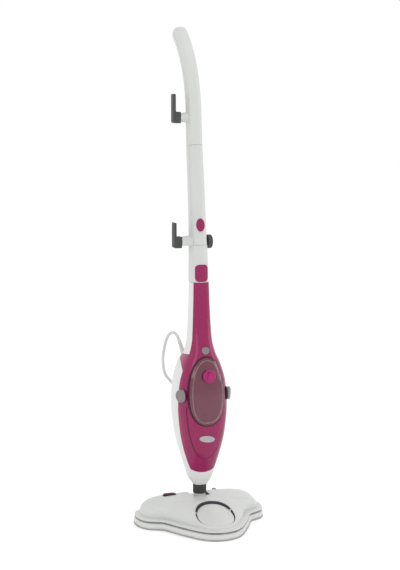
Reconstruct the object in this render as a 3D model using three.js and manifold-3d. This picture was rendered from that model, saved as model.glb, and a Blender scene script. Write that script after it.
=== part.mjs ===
// Upright steam mop: a triangular floor head with a microfibre pad, a tilting and swivelling neck, a boiler housing with a
// lift-off water tank, a two-piece pole with a cranked handle and two cord hooks. Millimetres, +Z up, front towards -Y,
// origin on the floor under the neck.
import * as THREE from 'three';
import { mergeVertices } from 'three/addons/utils/BufferGeometryUtils.js';
import Module from 'manifold-3d';

const wasm = await Module();
wasm.setup();

// ---- Driving dimensions ----
const GAP = 0.3;              // clearance between pieces that touch
const FINE = 24;              // points round an outer section
const COARSE = 16;            // points round an inner one
const TIDY = 0.14;            // flat neighbours within this are joined
const ROUND = 20;             // sides of a small round part

// Floor head, upwards from the floor
const PAD_TOP = 14;
const HOOK_TOP = 15.8;
const RIM_LOW = 16.1;
const RIM_TOP = 19.9;
const COVER_LOW = 20.2;
const FLANGE_TOP = 24;
const DOME_CENTRE = new THREE.Vector2(0, -45);
const DOME_RISE = 40;         // dome height above the flange
const DOME_INSET = 12;        // dome foot inside the outline
const COVER_WALL = 2.6;
const HEAD_OUTLINE = [        // right half, apex first; the left half mirrors it
  [0, -175], [28, -169], [50, -151], [70, -122], [88, -92], [101, -67], [109, -56], [121, -49],
  [139, -39], [151, -20], [155, 4], [152, 28], [141, 45], [118, 55], [60, 58], [0, 58],
];
const HOOD = { y: -112.6, radius: 43.5, holeY: -110.5, holeRadius: 46, drop: 5, thickness: 3, liner: 0.9 };
const NOTCH = { half: 22, front: -18, floor: 29, wall: 2.5 };
const PEDAL = { x: -70, y: 15, width: 32, depth: 15, low: 46, top: 67 };
const LOCK = { x: 50, y: 40, radius: 5, low: 42, top: 61 };

// Neck
const TILT_Z = 42;
const BARREL_R = 12;
const AXLE_R = 4;
const STUB_TOP = 66.7;
const COLLAR = { low: 67, top: 88.7, radius: 16, bore: 10.2, ribs: 5 };
const SPIGOT_R = 9.6;

// Housing: height, half width, depth to the front, depth to the rear
const HOUSING = [
  [89, 16, 16, 16], [104, 27, 22, 26], [122, 33, 26, 32], [150, 41, 36, 42], [180, 49, 46, 60],
  [215, 56, 54, 73], [262, 61, 58, 79], [303, 61, 58, 80], [340, 57, 55, 79], [365, 50, 52, 74],
  [384, 43, 48, 66], [394, 38, 45, 54], [405, 33, 43, 45], [430, 27, 34, 41], [460, 25, 26, 40],
  [515, 23, 19.5, 38], [566.7, 21.5, 17, 36],
];
const SQUARENESS = 2.6;       // superellipse power of every section
const HOUSING_WALL = 2.8;
const SEAM_LINE = [           // seam as [Y, Z]: front cover ahead of it, rear shell behind it
  [-20, 100], [-20, 400], [-16.5, 440], [-13, 500], [-10.5, 580],
];
const COVER_BOTTOM = 122;     // lowest point of the front cover's round end
const WING = { low: 364, high: 396, back: 39, root: -21 };
const TANK = { low: 240, high: 397, waist: 310, half: 43, back: -34, bulge: 8, wall: 2.4, ring: 2.6 };
const CAP = { z: 357, radius: 15 };
const RELEASE = { x: 54, y: -35, z: 309, radius: 15, angle: 60, out: 8, inward: 8, clear: 49.3 };
const STEAM_BUTTON = { z: 412, radius: 8.7 };

// Pole: centre line of the lower tube, upper pole and handle as [Y, Z]
const POLE_LINE = [
  [9.5, 500], [9.5, 560], [10, 615], [15, 680], [25, 780], [38, 880], [47, 985], [62, 1035], [86, 1079],
  [116, 1115], [145, 1139],
];
const POLE_SIZE = [           // height, width, depth
  [500, 43, 53], [560, 43, 53], [610, 42, 52], [696, 38, 48], [880, 35, 42], [985, 34, 39], [1139, 34, 36],
];
const POLE_WALL = 2.5;
const LOWER_TUBE = { low: 567.1, top: 651 };
const UPPER_POLE_LOW = 651.4;
const PANEL_TOP = 880;
const HANDLE_TOP = 1139;
const LATCH = { low: 569, top: 608, half: 15 };
const POLE_BUTTON = { z: 697, halfWidth: 9.5, halfHeight: 14.5 };
const UPPER_HOOK = { y: 45, z: 944 };
const LOWER_HOOK = { y: 13.5, z: 659 };

// Power cord: 7 mm, 4.5 m in all
const CORD_R = 3.5;
const RELIEF_LINE = [[-20, 58, 382.5], [-22, 59, 394], [-26, 61, 409], [-30, 64, 423]];
const CORD_JOIN = [-22, 119, 300];
const CORD_UPPER_LINE = [
  [-30.4, 64.4, 424.6], [-32.6, 69, 431.5], [-37, 79, 437], [-43, 91, 434], [-48.5, 101, 419], [-52.5, 108, 395],
  [-54, 113, 366], [-47, 118, 332], CORD_JOIN,
];
const CORD_LOWER_LINE = [
  [-21.6, 119, 299.4], [0, 118.5, 276], [30, 113, 243], [56, 101, 200], [63, 94, 160], [60, 93, 125], [51, 93, 94],
  [42, 91, 69], [33, 85, 50], [21, 76, 36], [6, 68.5, 26], [-9, 65.8, 21.3], [-24, 65.5, 19.5],
];
const HANK = { x: 24, y: 104, straight: 115, inner: 21, turns: 3, layers: 3, low: 1.3 };
const PLUG = { x: 57, y: 104, radius: 18.3, length: 38, pin: 19 };

// ---- Making solids ----
function solidOf(geometry) {
  const bare = geometry.index ? geometry.toNonIndexed() : geometry.clone();
  bare.deleteAttribute('normal');
  bare.deleteAttribute('uv');
  const welded = mergeVertices(bare, 1e-3);
  return new wasm.Manifold(new wasm.Mesh({
    numProp: 3,
    vertProperties: welded.attributes.position.array,
    triVerts: Uint32Array.from(welded.index.array),
  }));
}

// The main body of a cut that leaves slivers behind
function largest(solid) {
  return solid.decompose().sort((a, b) => b.volume() - a.volume())[0];
}

function geometryOf(solid) {
  const mesh = solid.getMesh();
  const geometry = new THREE.BufferGeometry();
  geometry.setAttribute('position', new THREE.BufferAttribute(Float32Array.from(mesh.vertProperties), 3));
  geometry.setIndex(Array.from(mesh.triVerts));
  geometry.computeVertexNormals();
  return geometry;
}

// A closed body through rings of equal point counts, each anticlockwise seen from the last ring's end
function loft(rings) {
  const count = rings[0].length;
  const middle = (ring) => ring.reduce((sum, p) => sum.add(p), new THREE.Vector3()).divideScalar(count);
  const points = [...rings.flat(), middle(rings[0]), middle(rings.at(-1))];
  const first = points.length - 2;
  const last = points.length - 1;
  const faces = [];
  for (let j = 0; j < count; j += 1) {
    const k = (j + 1) % count;
    for (let i = 0; i < rings.length - 1; i += 1) {
      const a = i * count;
      faces.push(a + j, a + k, a + count + k, a + j, a + count + k, a + count + j);
    }
    const top = (rings.length - 1) * count;
    faces.push(first, k, j, last, top + j, top + k);
  }
  const geometry = new THREE.BufferGeometry();
  geometry.setAttribute('position', new THREE.Float32BufferAttribute(points.flatMap((p) => [p.x, p.y, p.z]), 3));
  geometry.setIndex(faces);
  return solidOf(geometry);
}

function box(low, high) {
  const geometry = new THREE.BoxGeometry(high[0] - low[0], high[1] - low[1], high[2] - low[2]);
  geometry.translate((low[0] + high[0]) / 2, (low[1] + high[1]) / 2, (low[2] + high[2]) / 2);
  return solidOf(geometry);
}

// A cylinder or cone from one point to another
function rod(from, to, radius, endRadius = radius, sides = ROUND) {
  const start = new THREE.Vector3(...from);
  const end = new THREE.Vector3(...to);
  const geometry = new THREE.CylinderGeometry(endRadius, radius, start.distanceTo(end), sides);
  const along = end.clone().sub(start).normalize();
  geometry.applyQuaternion(new THREE.Quaternion().setFromUnitVectors(new THREE.Vector3(0, 1, 0), along));
  geometry.translate(...start.add(end).multiplyScalar(0.5).toArray());
  return solidOf(geometry);
}

// A ring or turned body about a vertical axis, from its half profile of [radius, height]
function turned(profile, x = 0, y = 0, sides = ROUND) {
  const geometry = new THREE.LatheGeometry(profile.map(([r, z]) => new THREE.Vector2(r, z)), sides);
  geometry.rotateX(Math.PI / 2);
  geometry.translate(x, y, 0);
  return solidOf(geometry);
}

function flat(outline, low, high) {
  const shape = outline instanceof THREE.Shape ? outline : new THREE.Shape(outline);
  const geometry = new THREE.ExtrudeGeometry(shape, { depth: high - low, bevelEnabled: false, curveSegments: 10 });
  geometry.translate(0, 0, low);
  return geometry;
}

const plateZ = (outline, low, high) => solidOf(flat(outline, low, high));

// The outline's own x and y become X and Z, and it is extruded along Y
function plateY(outline, near, far) {
  const geometry = flat(outline, 0, far - near);
  geometry.rotateX(Math.PI / 2);
  geometry.translate(0, far, 0);
  return solidOf(geometry);
}

// The outline's own x and y become Y and Z, and it is extruded along X
function plateX(outline, left, right) {
  const geometry = flat(outline, left, right);
  geometry.applyMatrix4(new THREE.Matrix4().makeBasis(
    new THREE.Vector3(0, 1, 0), new THREE.Vector3(0, 0, 1), new THREE.Vector3(1, 0, 0)));
  return solidOf(geometry);
}

function roundedRect(left, low, right, high, radius) {
  const shape = new THREE.Shape();
  shape.moveTo(left + radius, low);
  shape.lineTo(right - radius, low);
  shape.absarc(right - radius, low + radius, radius, -Math.PI / 2, 0);
  shape.lineTo(right, high - radius);
  shape.absarc(right - radius, high - radius, radius, 0, Math.PI / 2);
  shape.lineTo(left + radius, high);
  shape.absarc(left + radius, high - radius, radius, Math.PI / 2, Math.PI);
  shape.lineTo(left, low + radius);
  shape.absarc(left + radius, low + radius, radius, Math.PI, 1.5 * Math.PI);
  return shape;
}

function tube(line, radius, sides = 10, steps = 24) {
  const curve = new THREE.CatmullRomCurve3(line.map((p) => new THREE.Vector3(...p)));
  const section = new THREE.Shape();
  section.absarc(0, 0, radius, 0, 2 * Math.PI);
  const outline = new THREE.Shape(section.getSpacedPoints(sides).slice(0, sides));
  return solidOf(new THREE.ExtrudeGeometry(outline, { extrudePath: curve, steps, bevelEnabled: false }));
}

// Smooth values between rows of [position, value, value, ...]
function between(rows) {
  const smooth = new THREE.CubicInterpolant(rows.map((row) => row[0]), rows.flatMap((row) => row.slice(1)),
    rows[0].length - 1);
  return (position) => Array.from(smooth.evaluate(position));
}

const smoothstep = THREE.MathUtils.smoothstep;

const group = new THREE.Group();
function add(name, solid, colour, roughness = 0.45, metalness = 0) {
  const material = new THREE.MeshStandardMaterial({ color: colour, roughness, metalness });
  const mesh = new THREE.Mesh(geometryOf(largest(solid.simplify(TIDY))), material);
  mesh.name = name;
  group.add(mesh);
}

const COLOUR = {
  white: 0xe6e7e5, shell: 0xe4e4e2, magenta: 0x8c1b56, magentaDark: 0x4a1228, tank: 0x8a3c5e, cap: 0xa83971,
  grey: 0x86807f, dark: 0x3a3d3a, rubber: 0x35373a, rim: 0x6b6f6c, pad: 0xd6d8d4, hook: 0xbfc2c0, steel: 0xb9bcc0,
  brass: 0xb08d4a, board: 0x2d6a45, badge: 0xa9a3a8, cord: 0xcfd1cf, liner: 0x3d3c41,
};

// ---- Floor head ----
const mirrored = HEAD_OUTLINE.slice(1, -1).reverse().map(([x, y]) => [-x, y]);
const headCurve = new THREE.CatmullRomCurve3(
  [...HEAD_OUTLINE, ...mirrored].map(([x, y]) => new THREE.Vector3(x, y, 0)), true, 'centripetal');
const headPoints = headCurve.getSpacedPoints(52).slice(0, 52).map((p) => new THREE.Vector2(p.x, p.y));

function headOutline(inset) {
  return headPoints.map((point, i) => {
    const before = headPoints.at(i - 1);
    const after = headPoints[(i + 1) % headPoints.length];
    const inward = new THREE.Vector2(before.y - after.y, after.x - before.x).normalize();
    return point.clone().addScaledVector(inward, inset);
  });
}

const domeFoot = headOutline(DOME_INSET);

function domeReach(direction) {
  let reach = 0;
  domeFoot.forEach((a, i) => {
    const b = domeFoot[(i + 1) % domeFoot.length];
    const p = a.clone().sub(DOME_CENTRE);
    const edge = b.clone().sub(a);
    const across = direction.cross(edge);
    const along = across === 0 ? -1 : p.cross(direction) / across;
    const distance = across === 0 ? 0 : p.cross(edge) / across;
    if (along >= 0 && along <= 1) reach = Math.max(reach, distance);
  });
  return reach;
}

// Height of the dome where a share of the way (0 centre, 1 foot) has been gone in a direction
function domeHeight(y, share, direction) {
  const crest = DOME_RISE - 30 * smoothstep(-60 - y, 0, 118);
  const power = 2.4 + 3.6 * smoothstep(direction.y, 0.25, 0.95);
  return FLANGE_TOP + crest * (1 - share ** power) ** (1 / power);
}

function domeAt(x, y) {
  const way = new THREE.Vector2(x, y).sub(DOME_CENTRE);
  const direction = way.clone().normalize();
  return domeHeight(y, Math.min(1, way.length() / domeReach(direction)), direction);
}

function domeRings(foot, lower, shares = [0.98, 0.94, 0.88, 0.78, 0.64, 0.44, 0.2]) {
  return shares.map((share) => foot.map((p) => {
    const way = p.clone().sub(DOME_CENTRE);
    const at = DOME_CENTRE.clone().addScaledVector(way, share);
    return new THREE.Vector3(at.x, at.y, domeHeight(at.y, share, way.normalize()) - lower);
  }));
}

const level = (outline, z) => outline.map((p) => new THREE.Vector3(p.x, p.y, z));

function headTopCover() {
  const outer = loft([
    level(headPoints, COVER_LOW), level(headPoints, FLANGE_TOP - 1), level(headOutline(1), FLANGE_TOP),
    level(domeFoot, FLANGE_TOP), ...domeRings(domeFoot, 0),
  ]);
  const innerFoot = headOutline(DOME_INSET + COVER_WALL);
  const inner = loft([
    level(headOutline(3), COVER_LOW - 1), level(headOutline(3), FLANGE_TOP - 2.2), level(innerFoot, FLANGE_TOP - 2.2),
    ...domeRings(innerFoot, COVER_WALL, [0.95, 0.82, 0.6, 0.3]),
  ]);
  const trayWall = NOTCH.half + NOTCH.wall;
  const tray = box([-trayWall, NOTCH.front - NOTCH.wall, NOTCH.floor - NOTCH.wall], [trayWall, 56, 90]);
  const notch = box([-NOTCH.half, NOTCH.front, NOTCH.floor], [NOTCH.half, 70, 90]);
  const pedalHole = box(
    [PEDAL.x - PEDAL.width / 2 - 0.6, PEDAL.y - PEDAL.depth / 2 - 0.6, 30],
    [PEDAL.x + PEDAL.width / 2 + 0.6, PEDAL.y + PEDAL.depth / 2 + 0.6, 90]);
  const holes = [
    notch, pedalHole,
    rod([0, HOOD.holeY, 10], [0, HOOD.holeY, 90], HOOD.holeRadius, HOOD.holeRadius, 48),
    rod([LOCK.x, LOCK.y, 30], [LOCK.x, LOCK.y, 90], LOCK.radius + 0.5),
    rod([-40, 0, TILT_Z], [40, 0, TILT_Z], AXLE_R + 0.5),
  ];
  let cover = outer.subtract(inner).add(outer.intersect(tray));
  holes.forEach((hole) => { cover = cover.subtract(hole); });
  return cover;
}

function frontHood() {
  const top = [];
  const shares = [1, 0.95, 0.75, 0.4];
  shares.forEach((share) => {
    const ring = [];
    for (let i = 0; i < 36; i += 1) {
      const angle = (i / 36) * 2 * Math.PI;
      const x = HOOD.radius * share * Math.cos(angle);
      const y = HOOD.y + HOOD.radius * share * Math.sin(angle);
      const drop = HOOD.drop * smoothstep(y, HOOD.y - HOOD.radius, HOOD.y + HOOD.radius);
      const edge = 2.5 * (1 - (1 - share ** 12) ** 0.5);
      ring.push(new THREE.Vector3(x, y, domeAt(x, y) - drop - edge));
    }
    top.push(ring);
  });
  const skirt = top[0].map((p) => new THREE.Vector3(p.x, p.y, 21.6));
  const cavity = rod([0, HOOD.y, 10], [0, HOOD.y, 27.5], HOOD.radius - HOOD.thickness, HOOD.radius - HOOD.thickness, 48);
  return loft([skirt, ...top]).subtract(cavity);
}

function buildHead() {
  add('microfibre_pad', plateZ(headPoints, 0, PAD_TOP), COLOUR.pad, 0.95);
  [['left', -1], ['right', 1]].forEach(([side, sign]) => {
    const strip = roundedRect(sign * 62 - 42, -34, sign * 62 + 42, -6, 6);
    add(`hook_strip_${side}`, plateZ(strip, PAD_TOP + GAP, HOOK_TOP), COLOUR.hook, 0.9);
  });
  const rim = plateZ(headOutline(0.6), RIM_LOW, RIM_TOP).subtract(plateZ(headOutline(12), RIM_LOW - 1, RIM_TOP + 1));
  add('rim_gasket', rim, COLOUR.rim, 0.7);
  let base = plateZ(headOutline(12 + GAP), RIM_LOW, COVER_LOW + 1);
  for (let i = 0; i < 6; i += 1) {
    const x = -50 + i * 20;
    base = base.subtract(rod([x, -43, 0], [x, -43, 40], 2.5, 2.5, 8));
  }
  add('base_plate', base, COLOUR.grey, 0.6);
  add('head_top_cover', headTopCover(), COLOUR.white, 0.35);
  add('front_hood', frontHood(), COLOUR.white, 0.35);
  const linerHeight = loft([level(domeFoot, 22.4), ...domeRings(domeFoot, HOOD.liner)]);
  const liner = rod([0, HOOD.holeY, 22.4], [0, HOOD.holeY, 90], HOOD.holeRadius - GAP, HOOD.holeRadius - GAP, 48)
    .intersect(linerHeight);
  const linerHole = rod([0, HOOD.y, 10], [0, HOOD.y, 90], HOOD.radius + 0.25, HOOD.radius + 0.25, 48);
  add('hood_liner', liner.subtract(linerHole), COLOUR.liner, 0.6);
  const manifold = box([-56, -51, 21.5], [56, -35, 31]).subtract(box([-53, -48, 10], [53, -38, 28]));
  add('steam_manifold', manifold, COLOUR.grey, 0.6);
  [['left', -1], ['right', 1]].forEach(([side, sign]) => {
    const from = sign * (NOTCH.half + NOTCH.wall + GAP);
    const to = from + sign * 7;
    const bracket = box([Math.min(from, to), -11, 21.5], [Math.max(from, to), 11, 53]);
    add(`pivot_bracket_${side}`, bracket.subtract(rod([-50, 0, TILT_Z], [50, 0, TILT_Z], AXLE_R + GAP)), COLOUR.grey);
  });
  const foot = roundedRect(-PEDAL.width / 2, -PEDAL.depth / 2, PEDAL.width / 2, PEDAL.depth / 2, 6);
  const pedal = plateZ(foot, PEDAL.low, PEDAL.top).translate([PEDAL.x, PEDAL.y, 0]);
  const crown = rod([PEDAL.x, PEDAL.y - 30, 10], [PEDAL.x, PEDAL.y + 30, 10], 57.3, 57.3, 96);
  add('foot_pedal', pedal.intersect(crown), COLOUR.magentaDark, 0.4);
  const spring = turned([[4.5, 21.6], [6, 21.6], [6, PEDAL.low - GAP], [4.5, PEDAL.low - GAP], [4.5, 21.6]],
    PEDAL.x, PEDAL.y, 16);
  add('pedal_spring', spring, COLOUR.steel, 0.3, 1);
  const lock = turned([[0, LOCK.low], [LOCK.radius, LOCK.low], [LOCK.radius, LOCK.top - 1.2],
    [LOCK.radius - 1.2, LOCK.top], [0, LOCK.top]], LOCK.x, LOCK.y);
  add('lock_button', lock, COLOUR.grey, 0.4);
}

// ---- Neck ----
function buildNeck() {
  const barrel = rod([-20, 0, TILT_Z], [20, 0, TILT_Z], BARREL_R, BARREL_R, 32);
  const stub = turned([[0, TILT_Z], [10.5, TILT_Z], [14.5, 56], [14.5, STUB_TOP], [0, STUB_TOP]], 0, 0, 32);
  const socket = rod([0, 0, 57], [0, 0, 80], COLLAR.bore);
  const passage = rod([0, 0, 47], [0, 0, 60], 3);
  const bore = rod([-30, 0, TILT_Z], [30, 0, TILT_Z], AXLE_R + GAP);
  add('neck_yoke', barrel.add(stub).subtract(socket).subtract(passage).subtract(bore), COLOUR.white, 0.35);
  add('tilt_axle', rod([-31.5, 0, TILT_Z], [31.5, 0, TILT_Z], AXLE_R), COLOUR.steel, 0.3, 1);
  const profile = [[COLLAR.bore, COLLAR.low]];
  const pitch = (COLLAR.top - COLLAR.low) / COLLAR.ribs;
  for (let i = 0; i < COLLAR.ribs; i += 1) {
    const z = COLLAR.low + i * pitch;
    profile.push([COLLAR.radius - 1, z], [COLLAR.radius, z + 0.8], [COLLAR.radius, z + pitch - 0.8]);
  }
  profile.push([COLLAR.radius - 1, COLLAR.top], [COLLAR.bore, COLLAR.top], [COLLAR.bore, COLLAR.low]);
  add('swivel_collar', turned(profile, 0, 0, 18), COLOUR.rubber, 0.7);
}

// ---- Housing ----
const housingAt = between(HOUSING);

function sectionRing(z, half, front, rear, sides = FINE) {
  const ring = [];
  for (let i = 0; i < sides; i += 1) {
    const angle = (i / sides) * 2 * Math.PI;
    const c = Math.cos(angle);
    const s = Math.sin(angle);
    const x = half * Math.sign(c) * Math.abs(c) ** (2 / SQUARENESS);
    const y = (s < 0 ? front : rear) * Math.sign(s) * Math.abs(s) ** (2 / SQUARENESS);
    ring.push(new THREE.Vector3(x, y, z));
  }
  return ring;
}

function housingSolid(inset, low = 89, high = 566.7, frontExtra = () => 0) {
  const inner = inset > 1;
  const heights = new Set([low, high]);
  HOUSING.forEach(([z], i) => {
    const next = HOUSING[i + 1]?.[0] ?? z;
    const added = inner || next - z < 20 ? [z] : [z, (z + next) / 2];
    added.forEach((h) => { if (h > low + 2 && h < high - 2) heights.add(h); });
  });
  const rings = [...heights].sort((a, b) => a - b).map((z) => {
    const [half, front, rear] = housingAt(THREE.MathUtils.clamp(z, 89, 566.7));
    return sectionRing(z, half - inset, front - inset + frontExtra(z), rear - inset, inner ? COARSE : FINE);
  });
  return loft(rings);
}

// The arched window of the tank, grown by a margin
function tankWindow(margin) {
  const half = TANK.half + margin;
  const low = TANK.low - margin;
  const high = TANK.high + margin;
  const shape = new THREE.Shape();
  shape.moveTo(0, low);
  shape.bezierCurveTo(half * 0.66, low, half, TANK.waist - 44, half, TANK.waist);
  shape.bezierCurveTo(half, TANK.waist + 44, half * 0.62, high, 0, high);
  shape.bezierCurveTo(-half * 0.62, high, -half, TANK.waist + 44, -half, TANK.waist);
  shape.bezierCurveTo(-half, TANK.waist - 44, -half * 0.66, low, 0, low);
  return new THREE.Shape(shape.getPoints(7).slice(0, -1));
}

const tankBulge = (z) => TANK.bulge * Math.sin(Math.PI * THREE.MathUtils.clamp(
  (z - TANK.low + 18) / (TANK.high - TANK.low + 36), 0, 1)) ** 0.8;

function releasePoint(sign, outward) {
  const angle = THREE.MathUtils.degToRad(RELEASE.angle);
  return [sign * (RELEASE.x + outward * Math.sin(angle)), RELEASE.y - outward * Math.cos(angle), RELEASE.z];
}

function buildHousing() {
  const wall = housingSolid(0).subtract(housingSolid(HOUSING_WALL, 92.5, 570));
  const bottom = COVER_BOTTOM + 40;
  const front = new THREE.Shape();
  front.moveTo(-48, bottom);
  front.absellipse(0, bottom, 48, bottom - COVER_BOTTOM, Math.PI, 2 * Math.PI);
  front.lineTo(90, 200);
  front.lineTo(90, 590);
  front.lineTo(-90, 590);
  front.lineTo(-90, 200);
  const point = ([y, z]) => new THREE.Vector2(y, z);
  const ahead = plateX([[-120, 100], ...SEAM_LINE, [-120, 580]].map(point), -90, 90);
  const wing = plateX([[WING.root, WING.low], [WING.back, WING.high - 3], [WING.back - 3, WING.high],
    [WING.root, WING.high + 6]].map(point), -90, 90);
  const region = plateY(front, -120, 0).intersect(ahead).add(wing);
  const seam = region.add(region.translate([0, GAP, 0])).add(region.translate([0, 0, -GAP]))
    .add(region.translate([0, 0, GAP]));
  const spigotHole = rod([0, 0, 80], [0, 0, 110], SPIGOT_R + GAP);
  let rear = wall.subtract(seam).subtract(spigotHole);
  const screws = [[0, 500], [0, 175]];
  screws.forEach(([x, z]) => { rear = rear.subtract(rod([x, 20, z], [x, 90, z], 2.6, 2.6, 12)); });
  [-1, 1].forEach((sign) => {
    rear = rear.subtract(rod(releasePoint(sign, -22), releasePoint(sign, 22), RELEASE.radius + 0.5));
  });
  const cordHole = rod([-17, 55, 362], [-21, 59, 392], 6, 6, 16);
  rear = rear.subtract(cordHole);
  add('rear_shell', rear, COLOUR.shell, 0.35);

  let cover = wall.intersect(region).subtract(plateY(tankWindow(TANK.ring + GAP), -120, TANK.back + 3));
  [-1, 1].forEach((sign) => {
    const cheek = box([sign > 0 ? 0 : -RELEASE.clear - 1.5, -120, 280], [sign > 0 ? RELEASE.clear + 1.5 : 0, -10, 340]);
    cover = cover.subtract(
      rod(releasePoint(sign, -22), releasePoint(sign, 22), RELEASE.radius + 0.5, RELEASE.radius + 0.5, 32)
        .subtract(cheek));
  });
  const [, steamFront] = housingAt(STEAM_BUTTON.z);
  cover = cover.subtract(rod([0, -80, STEAM_BUTTON.z], [0, -20, STEAM_BUTTON.z], STEAM_BUTTON.radius + 0.4));
  cover = cover.subtract(rod([0, -80, 227], [0, -30, 227], 2.4, 2.4, 12));
  add('front_cover', cover, COLOUR.magenta, 0.25);
  const button = rod([0, -steamFront - 4.5, STEAM_BUTTON.z], [0, -steamFront - 3.3, STEAM_BUTTON.z],
    STEAM_BUTTON.radius - 1.2, STEAM_BUTTON.radius, 32)
    .add(rod([0, -steamFront - 3.3, STEAM_BUTTON.z], [0, -steamFront + 9, STEAM_BUTTON.z], STEAM_BUTTON.radius,
      STEAM_BUTTON.radius, 32));
  add('steam_button', button, COLOUR.grey, 0.4);

  [['left', -1], ['right', 1]].forEach(([side, sign]) => {
    const body = rod(releasePoint(sign, -RELEASE.inward), releasePoint(sign, RELEASE.out - 1.5), RELEASE.radius,
      RELEASE.radius, 32)
      .add(rod(releasePoint(sign, RELEASE.out - 1.5), releasePoint(sign, RELEASE.out), RELEASE.radius,
        RELEASE.radius - 1.5, 32));
    const keep = box([sign > 0 ? RELEASE.clear + 3 : -120, -100, 250], [sign > 0 ? 120 : -RELEASE.clear - 3, 40, 370]);
    add(`release_button_${side}`, body.intersect(keep), COLOUR.grey, 0.4);
  });
  buildFrontTrim();
}

function buildFrontTrim() {
  const badgeShape = new THREE.Shape();
  badgeShape.absellipse(0, 0, 19, 8, 0, 2 * Math.PI);
  const badgeOutline = new THREE.Shape(badgeShape.getPoints(10).slice(0, -1)
    .map((p) => p.rotateAround(new THREE.Vector2(), -0.14).add(new THREE.Vector2(0, 207))));
  const raised = housingSolid(-1.7, 150, 240).subtract(housingSolid(-GAP, 140, 250));
  const higher = housingSolid(-3, 150, 240).subtract(housingSolid(-1.7 - GAP, 140, 250));
  const shield = new THREE.Shape();
  shield.moveTo(-37, 218);
  shield.bezierCurveTo(-34, 190, -20, 156, 0, 156);
  shield.bezierCurveTo(20, 156, 34, 190, 37, 218);
  shield.bezierCurveTo(24, 222, 10, 215, 0, 215);
  shield.bezierCurveTo(-10, 215, -24, 222, -37, 218);
  add('shield_panel', raised.intersect(plateY(shield, -100, -15)), COLOUR.magenta, 0.25);
  add('badge', higher.intersect(plateY(badgeOutline, -100, -15)), COLOUR.badge, 0.25, 0.8);
  const [, lensFront] = housingAt(227);
  add('indicator_lens', rod([0, -lensFront - 1.2, 227], [0, -lensFront + 6, 227], 2.1, 2.1, 12), COLOUR.dark, 0.2);
}

function buildTank() {
  const bulged = (inset) => housingSolid(inset, TANK.low - 25, TANK.high + 25, tankBulge);
  const outer = bulged(0).intersect(plateY(tankWindow(0), -120, TANK.back));
  const inner = bulged(TANK.wall).intersect(plateY(tankWindow(-TANK.wall), -120, TANK.back - TANK.wall));
  const mouth = rod([0, -100, CAP.z], [0, -50, CAP.z], 10, 10, 24);
  add('water_tank', outer.subtract(inner).subtract(mouth), COLOUR.tank, 0.1);
  const ring = housingSolid(-0.8, TANK.low - 25, TANK.high + 25)
    .intersect(plateY(tankWindow(TANK.ring), -120, TANK.back + 2.7))
    .subtract(plateY(tankWindow(GAP), -121, TANK.back + 10))
    .subtract(housingSolid(8, TANK.low - 30, TANK.high + 30));
  add('tank_bezel', ring, 0x3c0a1e, 0.3);
  add('tank_cradle', plateY(tankWindow(TANK.ring), TANK.back + 3, TANK.back + 5.6), COLOUR.magentaDark, 0.5);
  const capFront = -72.5;
  const drop = new THREE.Shape();
  drop.absarc(0, CAP.z - 2, 6, Math.PI * 1.08, Math.PI * 1.92);
  drop.quadraticCurveTo(5, CAP.z + 6, 0, CAP.z + 11);
  drop.quadraticCurveTo(-5, CAP.z + 6, -5.8, CAP.z - 3.5);
  const cap = rod([0, capFront, CAP.z], [0, capFront + 6, CAP.z], CAP.radius - 1, CAP.radius, 32)
    .add(rod([0, capFront + 5, CAP.z], [0, capFront + 14, CAP.z], 9.5, 9.5, 24))
    .add(plateY(drop, capFront - 4, capFront + 1));
  const seat = bulged(-0.3).intersect(rod([0, -100, CAP.z], [0, -50, CAP.z], 20)).subtract(
    rod([0, -100, CAP.z], [0, -50, CAP.z], 9.9));
  add('tank_cap', cap.subtract(seat), COLOUR.cap, 0.3);
  add('tank_valve', rod([0, -38, 262], [0, -45, 262], 4, 4, 16).intersect(box([-10, -44, 250], [10, -36.8, 275])),
    COLOUR.rubber, 0.6);
}

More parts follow.
